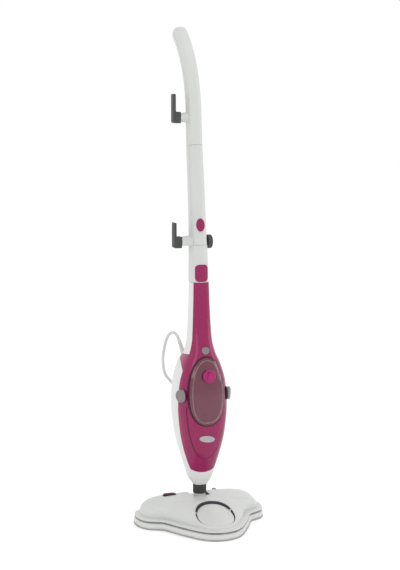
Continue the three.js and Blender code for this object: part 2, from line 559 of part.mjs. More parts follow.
function buildInside() {
  const spigot = rod([0, 0, 58], [0, 0, 118], SPIGOT_R).subtract(rod([0, 0, 50], [0, 0, 130], 3, 3, 12));
  add('outlet_spigot', spigot, COLOUR.dark, 0.5);
  const boiler = rod([0, 22, 245], [0, 22, 352], 27, 27, 28).add(rod([0, 22, 230], [0, 22, 245.5], 5, 27, 28));
  add('boiler', boiler, COLOUR.steel, 0.4, 0.8);
  add('thermostat', rod([0, 22, 352.3], [0, 22, 360], 8, 8, 16), COLOUR.brass, 0.4, 0.8);
  add('thermal_fuse', rod([-34, 16, 280], [-34, 16, 312], 3, 3, 12), COLOUR.brass, 0.4, 0.8);
  add('pump', rod([0, 14, 404], [0, 14, 462], 13, 13, 20), COLOUR.dark, 0.5);
  add('circuit_board', box([-22, 54, 262], [22, 56, 330]), COLOUR.board, 0.5);
  add('tank_socket', rod([0, -28, 262], [0, -20, 262], 6, 6, 16).subtract(rod([0, -40, 262], [0, -10, 262], 2, 2, 8)),
    COLOUR.rubber, 0.6);
  add('feed_hose', tube([[0, -19.5, 262], [0, -16.6, 262.2], [8, -12.5, 265], [32, -11, 282], [40, -6, 320], [30, 4, 368], [8, 13, 392],
    [0, 14, 399], [0, 14, 403.5]], 3, 8, 18), COLOUR.hook, 0.5);
  add('boiler_hose', tube([[0, 14, 462.5], [0, 14.4, 466], [0, 22, 473], [0, 31, 464], [0, 33, 440], [-3, 33, 410], [-10, 30, 380],
    [-14, 27, 358], [-14, 27, 352.6]], 2.6, 8, 18), COLOUR.hook, 0.5);
  add('steam_hose', tube([[0, 22, 229.6], [0, 21, 205], [0, 11, 165], [0, 1, 135], [0, 0, 118.4]], 4, 10, 14),
    COLOUR.rubber, 0.6);
  [[1, 500], [2, 175]].forEach(([number, z]) => {
    const [, , back] = housingAt(z);
    const screw = rod([0, back - 12, z], [0, back - HOUSING_WALL + 0.6, z], 1.9, 1.9, 10)
      .add(rod([0, back - 1.8, z], [0, back + 0.4, z], 2.3, 2.3, 10))
      .add(rod([0, back - 3, z], [0, back - 1.7, z], 2.1, 2.1, 10));
    add(`shell_screw_${number}`, screw, COLOUR.steel, 0.35, 1);
  });
}

// ---- Pole ----
const poleCurve = new THREE.CatmullRomCurve3(POLE_LINE.map(([y, z]) => new THREE.Vector3(0, y, z)), false, 'centripetal');
const poleSizeAt = between(POLE_SIZE);

// Centre and forward direction of the pole where its centre line is at height z
function poleAt(z) {
  let low = 0;
  let high = 1;
  for (let i = 0; i < 40; i += 1) {
    const middle = (low + high) / 2;
    if (poleCurve.getPoint(middle).z < z) low = middle; else high = middle;
  }
  const along = poleCurve.getTangent(low);
  return { centre: poleCurve.getPoint(low), along, forward: new THREE.Vector3(0, -along.z, along.y) };
}

function steps(low, high, pitch) {
  const count = Math.max(1, Math.round((high - low) / pitch));
  return Array.from({ length: count + 1 }, (_, i) => low + ((high - low) * i) / count);
}

function poleRing(z, inset, scale = 1, ahead = 0) {
  const sides = inset > 1 ? 12 : 20;
  const { centre, along, forward } = poleAt(z);
  const [width, depth] = poleSizeAt(z);
  return sectionRing(0, (width / 2 - inset) * scale, (depth / 2 - inset) * scale, (depth / 2 - inset) * scale, sides)
    .map((p) => centre.clone().addScaledVector(new THREE.Vector3(1, 0, 0), p.x)
      .addScaledVector(forward, -p.y).addScaledVector(along, ahead));
}

function poleSolid(low, high, inset, pitch = 60) {
  return loft(steps(low, high, pitch).map((z) => poleRing(z, inset)));
}

function handleSolid(inset) {
  const rings = [...steps(UPPER_POLE_LOW - (inset ? 2 : 0), 985, inset ? 80 : 55),
    ...steps(1003, HANDLE_TOP, inset ? 36 : 18)]
    .map((z) => poleRing(z, inset));
  const round = inset ? [] : [0.25, 0.5, 0.75, 0.93].map((t) => poleRing(HANDLE_TOP, 0, Math.sqrt(1 - t * t), 12 * t));
  return loft([...rings, ...round]);
}

// A bar along the front of the pole, from a distance ahead of its centre line outwards
function frontBar(low, high, ahead) {
  return loft(steps(low, high, high > 900 ? 16 : 60).map((z) => {
    const { centre, forward } = poleAt(z);
    return [[-30, ahead], [30, ahead], [30, 40], [-30, 40]].reverse().map(([x, reach]) => centre.clone()
      .addScaledVector(new THREE.Vector3(1, 0, 0), x).addScaledVector(forward, reach));
  }));
}

function poleButtonShape(margin) {
  const shape = new THREE.Shape();
  shape.absellipse(0, POLE_BUTTON.z, POLE_BUTTON.halfWidth + margin, POLE_BUTTON.halfHeight + margin, 0, 2 * Math.PI);
  return new THREE.Shape(shape.getPoints(14).slice(0, -1));
}

const latchShape = (margin) => roundedRect(
  -LATCH.half - margin, LATCH.low - margin, LATCH.half + margin, LATCH.top + margin, 9);

function hookSolid(boss, base, blade, z, halfBase, top, y) {
  const shape = new THREE.Shape();
  shape.moveTo(boss, z - halfBase);
  shape.lineTo(blade + 5, z - halfBase);
  shape.quadraticCurveTo(blade, z - halfBase, blade, z - halfBase + 5);
  shape.lineTo(blade, top - 3);
  shape.absarc(blade + 3, top - 3, 3, Math.PI, 0, true);
  shape.lineTo(blade + 6, z + halfBase + 3);
  shape.quadraticCurveTo(blade + 6, z + halfBase, base, z + halfBase);
  shape.lineTo(boss, z + halfBase);
  return plateY(shape, y - 9, y + 9);
}

function buildPole() {
  const lowerWall = poleSolid(LOWER_TUBE.low, LOWER_TUBE.top, 0)
    .subtract(poleSolid(LOWER_TUBE.low - 2, LOWER_TUBE.top + 2, POLE_WALL));
  add('lower_tube', lowerWall.subtract(plateY(latchShape(0.4), -60, 5)), COLOUR.white, 0.35);
  const spigotWall = (low, high, inset) => poleSolid(low, high, inset)
    .subtract(poleSolid(low - 1, high + 1, inset + 2.5));
  add('lower_spigot', spigotWall(528, 614, 5).subtract(plateY(latchShape(1.5), -60, 5)), COLOUR.dark, 0.5);
  const latch = poleSolid(560, 620, -1.4).subtract(poleSolid(550, 630, 3.2))
    .intersect(plateY(latchShape(0), -60, 0));
  add('pole_latch', latch, COLOUR.magenta, 0.3);

  const { forward } = poleAt(POLE_BUTTON.z);
  const wall = handleSolid(0).subtract(handleSolid(POLE_WALL));
  const panelBar = frontBar(UPPER_POLE_LOW - 5, PANEL_TOP, 9);
  const handleBar = frontBar(PANEL_TOP - 0.1, HANDLE_TOP + 4, 4);
  const openPanel = frontBar(UPPER_POLE_LOW - 5, PANEL_TOP, 9 - GAP);
  const openHandle = frontBar(PANEL_TOP - 0.5, HANDLE_TOP + 4, 4 - GAP);
  const hookBore = rod([-60, LOWER_HOOK.y, LOWER_HOOK.z], [60, LOWER_HOOK.y, LOWER_HOOK.z], 4.4, 4.4, 16);
  const upperBoss = rod([-14, UPPER_HOOK.y, UPPER_HOOK.z], [-32.7, UPPER_HOOK.y, UPPER_HOOK.z], 12, 10)
    .subtract(handleSolid(POLE_WALL));
  const lowerBoss = rod([-17, LOWER_HOOK.y, LOWER_HOOK.z], [-40.7, LOWER_HOOK.y, LOWER_HOOK.z], 15, 13)
    .subtract(handleSolid(POLE_WALL)).subtract(poleSolid(600, UPPER_POLE_LOW, -30, 50));
  const rear = wall.subtract(openPanel).subtract(openHandle).add(upperBoss).add(lowerBoss)
    .subtract(openPanel).subtract(openHandle).subtract(hookBore);
  add('pole_rear_shell', rear, COLOUR.white, 0.35);
  const buttonTilt = THREE.MathUtils.radToDeg(Math.atan2(forward.z, -forward.y));
  const aimed = (margin, near, far) => plateY(poleButtonShape(margin), near, far)
    .translate([0, 0, -POLE_BUTTON.z]).rotate([-buttonTilt, 0, 0]).translate([0, poleAt(POLE_BUTTON.z).centre.y,
      POLE_BUTTON.z]);
  const panel = poleSolid(UPPER_POLE_LOW, PANEL_TOP - GAP, 0.5).subtract(poleSolid(640, 900, POLE_WALL + 0.4))
    .intersect(panelBar).subtract(aimed(0.4, -60, 0)).subtract(hookBore);
  add('pole_front_panel', panel, COLOUR.white, 0.35);
  add('handle_front', wall.intersect(handleBar), COLOUR.white, 0.35);
  add('upper_spigot', spigotWall(618, 651, 4.4).intersect(box([-60, -60, 618], [60, 90, 650.9])), COLOUR.dark, 0.5);
  const buttonBody = aimed(0, -60, -14).intersect(poleSolid(670, 725, -2.2, 12).subtract(poleSolid(660, 735, 7, 12)));
  add('pole_button', buttonBody, COLOUR.magenta, 0.3);

  add('upper_cord_hook', hookSolid(-33, -40, -51, UPPER_HOOK.z, 13, 998, UPPER_HOOK.y), COLOUR.dark, 0.55);
  const lowerHook = hookSolid(-41, -48, -60, LOWER_HOOK.z, 13, 705, LOWER_HOOK.y)
    .subtract(hookBore.intersect(box([-50, -50, 600], [0, 90, 700])));
  add('lower_cord_hook', lowerHook, COLOUR.dark, 0.55);
  const at = [LOWER_HOOK.y, LOWER_HOOK.z];
  const knob = rod([-49.5, ...at], [22, ...at], 4, 4, 16).add(rod([21.8, ...at], [31, ...at], 16, 16, 32))
    .add(rod([31, ...at], [33, ...at], 16, 14, 32));
  add('hook_knob', knob, COLOUR.dark, 0.55);
}

// ---- Power cord ----
function hankShape(radius) {
  const shape = new THREE.Shape();
  const half = HANK.straight / 2;
  shape.moveTo(HANK.x - half, HANK.y - radius);
  shape.lineTo(HANK.x + half, HANK.y - radius);
  shape.absarc(HANK.x + half, HANK.y, radius, -Math.PI / 2, Math.PI / 2);
  shape.lineTo(HANK.x - half, HANK.y + radius);
  shape.absarc(HANK.x - half, HANK.y, radius, Math.PI / 2, 1.5 * Math.PI);
  return shape;
}

function buildCord() {
  const relief = RELIEF_LINE.map((p) => new THREE.Vector3(...p));
  const reliefRings = relief.map((centre, i) => {
    const along = (relief[i + 1] ?? centre).clone().sub(relief[i + 1] ? centre : relief[i - 1]).normalize();
    const turn = new THREE.Quaternion().setFromUnitVectors(new THREE.Vector3(0, 0, 1), along);
    const radius = 6.2 - 1.9 * (i / (relief.length - 1));
    return Array.from({ length: 16 }, (_, k) => {
      const angle = (k / 16) * 2 * Math.PI;
      return new THREE.Vector3(radius * Math.cos(angle), radius * Math.sin(angle), 0).applyQuaternion(turn).add(centre);
    });
  });
  const reliefSolid = loft(reliefRings).subtract(housingSolid(-GAP, 350, 420));
  add('cord_strain_relief', reliefSolid, COLOUR.cord, 0.6);
  add('power_cord_upper', tube(CORD_UPPER_LINE, CORD_R, 8, 18), COLOUR.cord, 0.6);
  add('power_cord_lower', tube(CORD_LOWER_LINE, CORD_R, 8, 24), COLOUR.cord, 0.6);
  const outside = HANK.inner + HANK.turns * 2 * CORD_R;
  const top = HANK.low + HANK.layers * 2 * CORD_R;
  const lead = tube(CORD_LOWER_LINE, CORD_R + GAP, 8, 24);
  const ring = plateZ(hankShape(outside), HANK.low, top).subtract(plateZ(hankShape(HANK.inner), 0, 60));
  add('cord_hank', ring.subtract(lead), COLOUR.cord, 0.6);
  const band = box([HANK.x - 74, HANK.y - outside - 1.6, 0.2], [HANK.x - 62, HANK.y + outside + 1.6, top + 1.4])
    .subtract(box([HANK.x - 80, HANK.y - outside - 0.3, 1.0], [HANK.x - 50, HANK.y + outside + 0.3, top + 0.3]));
  add('cord_tie', band, COLOUR.dark, 0.8);
  const z = PLUG.radius + 0.2;
  const back = PLUG.x - PLUG.length / 2;
  const face = PLUG.x + PLUG.length / 2;
  const plug = rod([back, PLUG.y, z], [PLUG.x - 2, PLUG.y, z], 8, PLUG.radius - 2, 28)
    .add(rod([PLUG.x - 2.1, PLUG.y, z], [face, PLUG.y, z], PLUG.radius, PLUG.radius, 28))
    .add(rod([face - 1, PLUG.y - 9.5, z], [face + PLUG.pin, PLUG.y - 9.5, z], 2.4, 2.4, 12))
    .add(rod([face - 1, PLUG.y + 9.5, z], [face + PLUG.pin, PLUG.y + 9.5, z], 2.4, 2.4, 12));
  add('plug', plug, COLOUR.cord, 0.5);
}

buildHead();
buildNeck();
buildHousing();
buildTank();
buildInside();
buildPole();
buildCord();

export default group;
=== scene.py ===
# Upright steam mop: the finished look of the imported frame.
# Lengths are written in millimetres and made metres by MM.
import math
import bpy
from mathutils import Matrix, Vector, noise


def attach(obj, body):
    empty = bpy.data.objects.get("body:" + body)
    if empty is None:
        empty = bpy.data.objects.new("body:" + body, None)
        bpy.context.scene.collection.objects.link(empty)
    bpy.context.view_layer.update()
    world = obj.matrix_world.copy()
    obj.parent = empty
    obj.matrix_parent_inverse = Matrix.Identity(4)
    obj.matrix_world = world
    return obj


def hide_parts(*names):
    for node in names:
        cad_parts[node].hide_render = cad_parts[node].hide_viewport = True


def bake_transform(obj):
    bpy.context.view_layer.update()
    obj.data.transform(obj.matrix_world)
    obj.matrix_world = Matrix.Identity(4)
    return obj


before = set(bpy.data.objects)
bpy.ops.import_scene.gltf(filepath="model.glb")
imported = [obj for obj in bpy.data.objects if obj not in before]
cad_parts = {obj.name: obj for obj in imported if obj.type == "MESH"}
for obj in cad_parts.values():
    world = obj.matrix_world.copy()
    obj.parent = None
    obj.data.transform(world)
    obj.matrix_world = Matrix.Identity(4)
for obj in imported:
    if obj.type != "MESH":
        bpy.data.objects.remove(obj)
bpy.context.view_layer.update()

MM = 0.001
X, Y, Z = Vector((1, 0, 0)), Vector((0, 1, 0)), Vector((0, 0, 1))

# ---- Driving dimensions, as the frame has them ----
RIM_LOW, RIM_TOP, COVER_LOW, FLANGE_TOP = 16.1, 19.9, 20.2, 24.0
DOME_CENTRE, DOME_RISE, DOME_INSET = Vector((0, -45, 0)), 40.0, 12.0
HEAD_OUTLINE = [
    (0, -175), (28, -169), (50, -151), (70, -122), (88, -92), (101, -67), (109, -56), (121, -49), (139, -39),
    (151, -20), (155, 4), (152, 28), (141, 45), (118, 55), (60, 58), (0, 58),
]
HOOD_Y, HOOD_R, HOOD_HOLE_Y, HOOD_HOLE_R, HOOD_DROP = -112.6, 43.5, -110.5, 46.0, 5.0
NOTCH_HALF, NOTCH_FRONT, NOTCH_FLOOR = 22.0, -18.0, 29.0
PEDAL_X, PEDAL_Y, PEDAL_W, PEDAL_D, PEDAL_LOW = -70, 15, 32, 15, 46
LOCK_X, LOCK_Y, LOCK_R, LOCK_TOP = 50, 40, 5.0, 61.0
TILT_Z = 42.0
HOUSING = [
    (89, 16, 16, 16), (104, 27, 22, 26), (122, 33, 26, 32), (150, 41, 36, 42), (180, 49, 46, 60),
    (215, 56, 54, 73), (262, 61, 58, 79), (303, 61, 58, 80), (340, 57, 55, 79), (365, 50, 52, 74),
    (384, 43, 48, 66), (394, 38, 45, 54), (405, 33, 43, 45), (430, 27, 34, 41), (460, 25, 26, 40),
    (515, 23, 19.5, 38), (566.7, 21.5, 17, 36),
]
SQUARENESS = 2.6
SEAM_LINE = [(-20, 100), (-20, 400), (-16.5, 440), (-13, 500), (-10.5, 580)]
COVER_BOTTOM = 122
WING_LOW, WING_HIGH, WING_BACK, WING_ROOT = 364, 396, 39, -21
TANK_LOW, TANK_HIGH, TANK_WAIST, TANK_HALF, TANK_BACK, TANK_BULGE, TANK_RING = 240, 397, 310, 43, -34, 8, 2.6
CAP_Z, CAP_FRONT = 357, -72.5
RELEASE_X, RELEASE_Y, RELEASE_Z, RELEASE_R, RELEASE_CLEAR = 54, -35, 309, 15, 49.3
RELEASE_ANGLE = math.radians(60)
STEAM_Z, STEAM_R = 412, 8.7
POLE_LINE = [
    (9.5, 500), (9.5, 560), (10, 615), (15, 680), (25, 780), (38, 880), (47, 985), (62, 1035), (86, 1079),
    (116, 1115), (145, 1139),
]
POLE_SIZE = [
    (500, 43, 53), (560, 43, 53), (610, 42, 52), (696, 38, 48), (880, 35, 42), (985, 34, 39), (1139, 34, 36),
]
UPPER_POLE_LOW, PANEL_TOP, HANDLE_TOP = 651.4, 880.0, 1139.0
LATCH_LOW, LATCH_TOP, LATCH_HALF = 569, 608, 15
BUTTON_Z, BUTTON_W, BUTTON_H = 697, 9.5, 14.5
UPPER_HOOK, LOWER_HOOK = (45, 944), (13.5, 659)
FLOOR_REACH = 9000
CORD_R = 3.5
RELIEF_LINE = [(-20, 58, 382.5), (-22, 59, 394), (-26, 61, 409), (-30, 64, 423)]
CORD_UPPER = [
    (-30.4, 64.4, 424.6), (-32.6, 69, 431.5), (-37, 79, 437), (-43, 91, 434), (-48.5, 101, 419),
    (-52.5, 108, 395), (-54, 113, 366), (-47, 118, 332), (-22, 119, 300),
]
CORD_LOWER = [
    (-21.6, 119, 299.4), (0, 118.5, 276), (30, 113, 243), (56, 101, 200), (63, 94, 160), (60, 93, 125),
    (51, 93, 94), (42, 91, 69), (33, 85, 50), (21, 76, 36), (6, 68.5, 26), (-9, 65.8, 21.3),
    (-24, 65.5, 19.5),
]
HANK_X, HANK_Y, HANK_RUN, HANK_INNER, HANK_TURNS, HANK_LAYERS, HANK_LOW = 24, 104, 115, 21, 3, 3, 1.3
PLUG_X, PLUG_Y, PLUG_R, PLUG_LENGTH, PLUG_PIN = 57, 104, 18.3, 38, 19


# ---- Shapes ----
def smoothstep(value, low, high):
    t = min(1.0, max(0.0, (value - low) / (high - low)))
    return t * t * (3 - 2 * t)


def between(rows):
    """Smooth values between rows of (position, value, value, ...)."""
    def slope(i, k):
        a, b = rows[max(i - 1, 0)], rows[min(i + 1, len(rows) - 1)]
        return (b[k] - a[k]) / (b[0] - a[0])

    def at(position):
        position = min(max(position, rows[0][0]), rows[-1][0])
        i = max(j for j in range(len(rows) - 1) if rows[j][0] <= position)
        p, q = rows[i], rows[i + 1]
        span = q[0] - p[0]
        t = (position - p[0]) / span
        return [
            (1 + 2 * t) * (1 - t) ** 2 * p[k] + t * (1 - t) ** 2 * span * slope(i, k)
            + t * t * (3 - 2 * t) * q[k] + t * t * (t - 1) * span * slope(i + 1, k)
            for k in range(1, len(p))
        ]
    return at


def smooth_line(points, count, closed=False):
    """Evenly spaced points on a centripetal Catmull-Rom line."""
    points = [Vector(p) for p in points]
    if closed:
        ends = [points[-1], *points, points[0], points[1]]
    else:
        ends = [2 * points[0] - points[1], *points, 2 * points[-1] - points[-2]]
    dense = []
    for p0, p1, p2, p3 in zip(ends, ends[1:], ends[2:], ends[3:]):
        t1 = (p1 - p0).length ** 0.5
        t2 = t1 + (p2 - p1).length ** 0.5
        t3 = t2 + (p3 - p2).length ** 0.5
        for i in range(24):
            t = t1 + (t2 - t1) * i / 24
            a1 = p0.lerp(p1, t / t1)
            a2 = p1.lerp(p2, (t - t1) / (t2 - t1))
            a3 = p2.lerp(p3, (t - t2) / (t3 - t2))
            b1 = a1.lerp(a2, t / t2)
            b2 = a2.lerp(a3, (t - t1) / (t3 - t1))
            dense.append(b1.lerp(b2, (t - t1) / (t2 - t1)))
    dense.append(points[0] if closed else points[-1])
    lengths = [0.0]
    for a, b in zip(dense, dense[1:]):
        lengths.append(lengths[-1] + (b - a).length)
    spaces = count if closed else count - 1
    result, j = [], 0
    for i in range(count):
        wanted = lengths[-1] * i / spaces
        while j < len(lengths) - 2 and lengths[j + 1] < wanted:
            j += 1
        span = max(lengths[j + 1] - lengths[j], 1e-9)
        result.append(dense[j].lerp(dense[j + 1], (wanted - lengths[j]) / span))
    return result


def mesh_object(name, points, faces):
    mesh = bpy.data.meshes.new(name)
    mesh.from_pydata([tuple(Vector(p) * MM) for p in points], [], faces)
    mesh.validate()
    obj = bpy.data.objects.new(name, mesh)
    bpy.context.scene.collection.objects.link(obj)
    return obj


def loft(name, rings):
    """A closed body through rings of equal counts, anticlockwise seen from the last ring's end."""
    count = len(rings[0])
    points = [p for ring in rings for p in ring]
    faces = []
    for i in range(len(rings) - 1):
        for j in range(count):
            k = (j + 1) % count
            a = i * count
            faces.append((a + j, a + k, a + count + k, a + count + j))
    for ring, order in ((0, range(count - 1, -1, -1)), (len(rings) - 1, range(count))):
        middle = len(points)
        points.append(sum((Vector(p) for p in rings[ring]), Vector()) / count)
        loop = [ring * count + j for j in order]
        faces += [(middle, loop[j], loop[(j + 1) % count]) for j in range(count)]
    return mesh_object(name, points, faces)


def prism(outline, low, high, place):
    """An outline of (a, b) extruded from low to high; place(a, b, t) puts it in space."""
    rings = [[place(a, b, t) for a, b in outline] for t in (low, high)]
    return loft("cutter", rings)


def plate_z(outline, low, high):
    return prism(outline, low, high, lambda a, b, t: Vector((a, b, t)))


def plate_y(outline, near, far):
    return prism(outline, far, near, lambda a, b, t: Vector((a, t, b)))


def plate_x(outline, left, right):
    return prism(outline, left, right, lambda a, b, t: Vector((t, a, b)))


def box(low, high):
    corners = [(low[0], low[1]), (high[0], low[1]), (high[0], high[1]), (low[0], high[1])]
    return plate_z(corners, low[2], high[2])


def spindle(name, profile, base, axis, sides=64):
    """A turned body of (radius, distance along the axis) from base."""
    turn = Z.rotation_difference(Vector(axis).normalized())
    rings = [
        [Vector(base) + turn @ Vector((r * math.cos(a), r * math.sin(a), h))
         for a in (2 * math.pi * i / sides for i in range(sides))]
        for r, h in profile
    ]
    return loft(name, rings)


def rod(start, end, radius, sides=64):
    axis = Vector(end) - Vector(start)
    return spindle("cutter", [(radius, 0), (radius, axis.length)], start, axis, sides)


def round_ends(radius, low, high, fillet=1.0):
    """A turned profile with rounded rims at both ends."""
    arc = [math.radians(a) for a in (0, 22.5, 45, 67.5, 90)]
    lower = [(radius - fillet + fillet * math.sin(a), low + fillet - fillet * math.cos(a)) for a in arc]
    upper = [(radius - fillet + fillet * math.cos(a), high - fillet + fillet * math.sin(a)) for a in arc]
    return lower + upper


def rounded_rect(left, low, right, high, radius, steps=6):
    corners = [(right - radius, low + radius, -90), (right - radius, high - radius, 0),
               (left + radius, high - radius, 90), (left + radius, low + radius, 180)]
    return [
        (cx + radius * math.cos(math.radians(start + 90 * i / steps)),
         cy + radius * math.sin(math.radians(start + 90 * i / steps)))
        for cx, cy, start in corners for i in range(steps + 1)
    ]


def bezier(p0, p1, p2, p3, steps=14):
    points = []
    for i in range(steps):
        t = i / steps
        w = ((1 - t) ** 3, 3 * t * (1 - t) ** 2, 3 * t * t * (1 - t), t ** 3)
        points.append(tuple(sum(wk * p[k] for wk, p in zip(w, (p0, p1, p2, p3))) for k in (0, 1)))
    return points


def combine(obj, other, operation):
    """A boolean of two bodies, applied; the second one is used up."""
    modifier = obj.modifiers.new("cut", "BOOLEAN")
    modifier.operation = operation
    modifier.solver = "EXACT"
    modifier.object = other
    evaluated = obj.evaluated_get(bpy.context.evaluated_depsgraph_get())
    result = bpy.data.meshes.new_from_object(evaluated)
    obj.modifiers.clear()
    obj.data = result
    bpy.data.objects.remove(other)
    return obj


def subtract(obj, *others):
    for other in others:
        combine(obj, other, "DIFFERENCE")
    return obj


def intersect(obj, other):
    return combine(obj, other, "INTERSECT")


def unite(obj, *others):
    for other in others:
        combine(obj, other, "UNION")
    return obj


def shade(obj, angle=32):
    obj.data.polygons.foreach_set("use_smooth", [True] * len(obj.data.polygons))
    obj.data.set_sharp_from_angle(angle=math.radians(angle))
    return obj


def soften(obj, width=0.5, segments=2, angle=36):
    """Small rounded edges that catch the light."""
    bevel = obj.modifiers.new("edges", "BEVEL")
    bevel.width = width * MM
    bevel.segments = segments
    bevel.limit_method = "ANGLE"
    bevel.angle_limit = math.radians(angle)
    bevel.harden_normals = True
    return obj


def finished(obj, name, body, material, nodes, edge=0.5):
    """Name, finish and place a piece, which stands for the CAD nodes given."""
    obj.name = name
    obj.data.name = name
    obj.data.materials.clear()
    obj.data.materials.append(material)
    shade(obj)
    if edge:
        soften(obj, edge)
    if nodes:
        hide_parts(*nodes)
    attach(obj, body)
    return obj


# ---- Materials ----
class Nodes:
    """A material and short ways to add and join its nodes."""

    def __init__(self, name):
        self.material = bpy.data.materials.new(name)
        self.material.use_nodes = True
        self.tree = self.material.node_tree
        self.shader = self.tree.nodes["Principled BSDF"]
        self.place = self.add("ShaderNodeTexCoord").outputs["Object"]

    def add(self, kind, **values):
        node = self.tree.nodes.new(kind)
        for key, value in values.items():
            setattr(node, key, value)
        return node

    def join(self, output, target):
        self.tree.links.new(output, target)

    def noise(self, scale, detail=3.0, stretch=(1, 1, 1), roughness=0.5):
        mapping = self.add("ShaderNodeMapping")
        mapping.inputs["Scale"].default_value = stretch
        self.join(self.place, mapping.inputs["Vector"])
        node = self.add("ShaderNodeTexNoise")
        node.inputs["Scale"].default_value = scale
        node.inputs["Detail"].default_value = detail
        node.inputs["Roughness"].default_value = roughness
        self.join(mapping.outputs["Vector"], node.inputs["Vector"])
        return node.outputs["Fac"]

    def cells(self, scale, stretch=(1, 1, 1)):
        mapping = self.add("ShaderNodeMapping")
        mapping.inputs["Scale"].default_value = stretch
        self.join(self.place, mapping.inputs["Vector"])
        node = self.add("ShaderNodeTexVoronoi")
        node.inputs["Scale"].default_value = scale
        self.join(mapping.outputs["Vector"], node.inputs["Vector"])
        return node.outputs["Distance"]

    def span(self, output, low, high, start=0.0, end=1.0):
        node = self.add("ShaderNodeMapRange")
        for key, value in (("From Min", start), ("From Max", end), ("To Min", low), ("To Max", high)):
            node.inputs[key].default_value = value
        self.join(output, node.inputs["Value"])
        return node.outputs["Result"]

    def mix(self, factor, a, b):
        node = self.add("ShaderNodeMix", data_type="RGBA")
        self.join(factor, node.inputs["Factor"])
        for socket, value in ((node.inputs["A"], a), (node.inputs["B"], b)):
            if isinstance(value, tuple):
                socket.default_value = (*value, 1.0)
            else:
                self.join(value, socket)
        return node.outputs["Result"]

    def bump(self, height, distance, strength=1.0, under=None):
        node = self.add("ShaderNodeBump")
        node.inputs["Strength"].default_value = strength
        node.inputs["Distance"].default_value = distance
        self.join(height, node.inputs["Height"])
        if under:
            self.join(under, node.inputs["Normal"])
        return node.outputs["Normal"]


def shaded(colour, factor):
    return tuple(min(1.0, c * factor) for c in colour)


def moulded(name, colour, rough, coat=0.0, grain=0.00002, grain_scale=900, variation=0.05, wear=0.25,
            worn=None):
    """Injection-moulded plastic: flow variation, fine grain, faint wiped scratches and paler worn edges."""
    n = Nodes(name)
    s = n.shader
    flow = n.noise(14, 4)
    body = n.mix(n.span(flow, 0, 1, 0.3, 0.7), shaded(colour, 1 - variation), shaded(colour, 1 + variation))
    edge = n.add("ShaderNodeNewGeometry").outputs["Pointiness"]
    rubbed = n.add("ShaderNodeMath", operation="MULTIPLY")
    n.join(n.span(edge, 0, wear, 0.56, 0.68), rubbed.inputs[0])
    n.join(n.span(n.noise(120, 4), 0.2, 1, 0.35, 0.65), rubbed.inputs[1])
    n.join(n.mix(rubbed.outputs["Value"], body, worn or shaded(colour, 1.35)), s.inputs["Base Color"])
    wiped = n.noise(420, 4, (1, 1, 0.06))
    n.join(n.span(wiped, rough * 0.82, rough * 1.25, 0.3, 0.7), s.inputs["Roughness"])
    skin = n.bump(n.noise(grain_scale, 2), grain, 0.6)
    n.join(n.bump(n.noise(26, 2), 0.00012, 0.25, skin), s.inputs["Normal"])
    s.inputs["Coat Weight"].default_value = coat
    s.inputs["Coat Roughness"].default_value = 0.06
    s.inputs["IOR"].default_value = 1.5
    s.inputs["Specular IOR Level"].default_value = 0.3
    return n.material


def metal(name, colour, rough, brushed=(1, 1, 0.05)):
    n = Nodes(name)
    s = n.shader
    lines = n.noise(700, 4, brushed)
    n.join(n.mix(n.noise(30, 3), shaded(colour, 0.85), shaded(colour, 1.1)), s.inputs["Base Color"])
    n.join(n.span(lines, rough * 0.7, rough * 1.4, 0.3, 0.7), s.inputs["Roughness"])
    n.join(n.bump(lines, 0.00003, 0.5), s.inputs["Normal"])
    s.inputs["Metallic"].default_value = 1.0
    return n.material


def rubber(name, colour, rough=0.62):
    n = Nodes(name)
    s = n.shader
    dust = n.noise(60, 5)
    n.join(n.mix(n.span(dust, 0, 1, 0.45, 0.8), colour, shaded(colour, 1.9)), s.inputs["Base Color"])
    n.join(n.span(dust, rough, rough * 1.2, 0.3, 0.8), s.inputs["Roughness"])
    n.join(n.bump(n.noise(1400, 3), 0.00008, 0.7), s.inputs["Normal"])
    return n.material


def smoked(name, tint):
    """Tinted clear polycarbonate with faint flow waves and fine scuffs."""
    n = Nodes(name)
    s = n.shader
    n.join(n.mix(n.noise(20, 2), shaded(tint, 0.92), shaded(tint, 1.08)), s.inputs["Base Color"])
    n.join(n.span(n.noise(380, 5, (1, 1, 0.2)), 0.03, 0.11, 0.4, 0.75), s.inputs["Roughness"])
    n.join(n.bump(n.noise(34, 2), 0.0002, 0.25), s.inputs["Normal"])
    s.inputs["Transmission Weight"].default_value = 0.86
    s.inputs["IOR"].default_value = 1.49
    s.inputs["Coat Weight"].default_value = 0.5
    s.inputs["Coat Roughness"].default_value = 0.04
    return n.material


def microfibre(name, colour):
    """Cut pile: tufts of fine fibre, darker between them, with a soft sheen."""
    n = Nodes(name)
    s = n.shader
    tufts = n.cells(700)
    fibre = n.noise(2600, 3, (1, 1, 0.35))
    shadow = n.mix(n.span(tufts, 0, 1, 0.1, 0.75), shaded(colour, 1.06), shaded(colour, 0.86))
    soiled = n.span(n.noise(24, 4), 0, 0.35, 0.4, 0.7)
    n.join(n.mix(soiled, shadow, shaded(colour, 0.92)), s.inputs["Base Color"])
    n.join(n.bump(fibre, 0.0006, 0.6, n.bump(n.span(tufts, 1, 0), 0.0006, 0.7)), s.inputs["Normal"])
    n.join(n.span(fibre, 0.85, 1.0), s.inputs["Roughness"])
    s.inputs["Sheen Weight"].default_value = 0.5
    s.inputs["Sheen Roughness"].default_value = 0.4
    return n.material


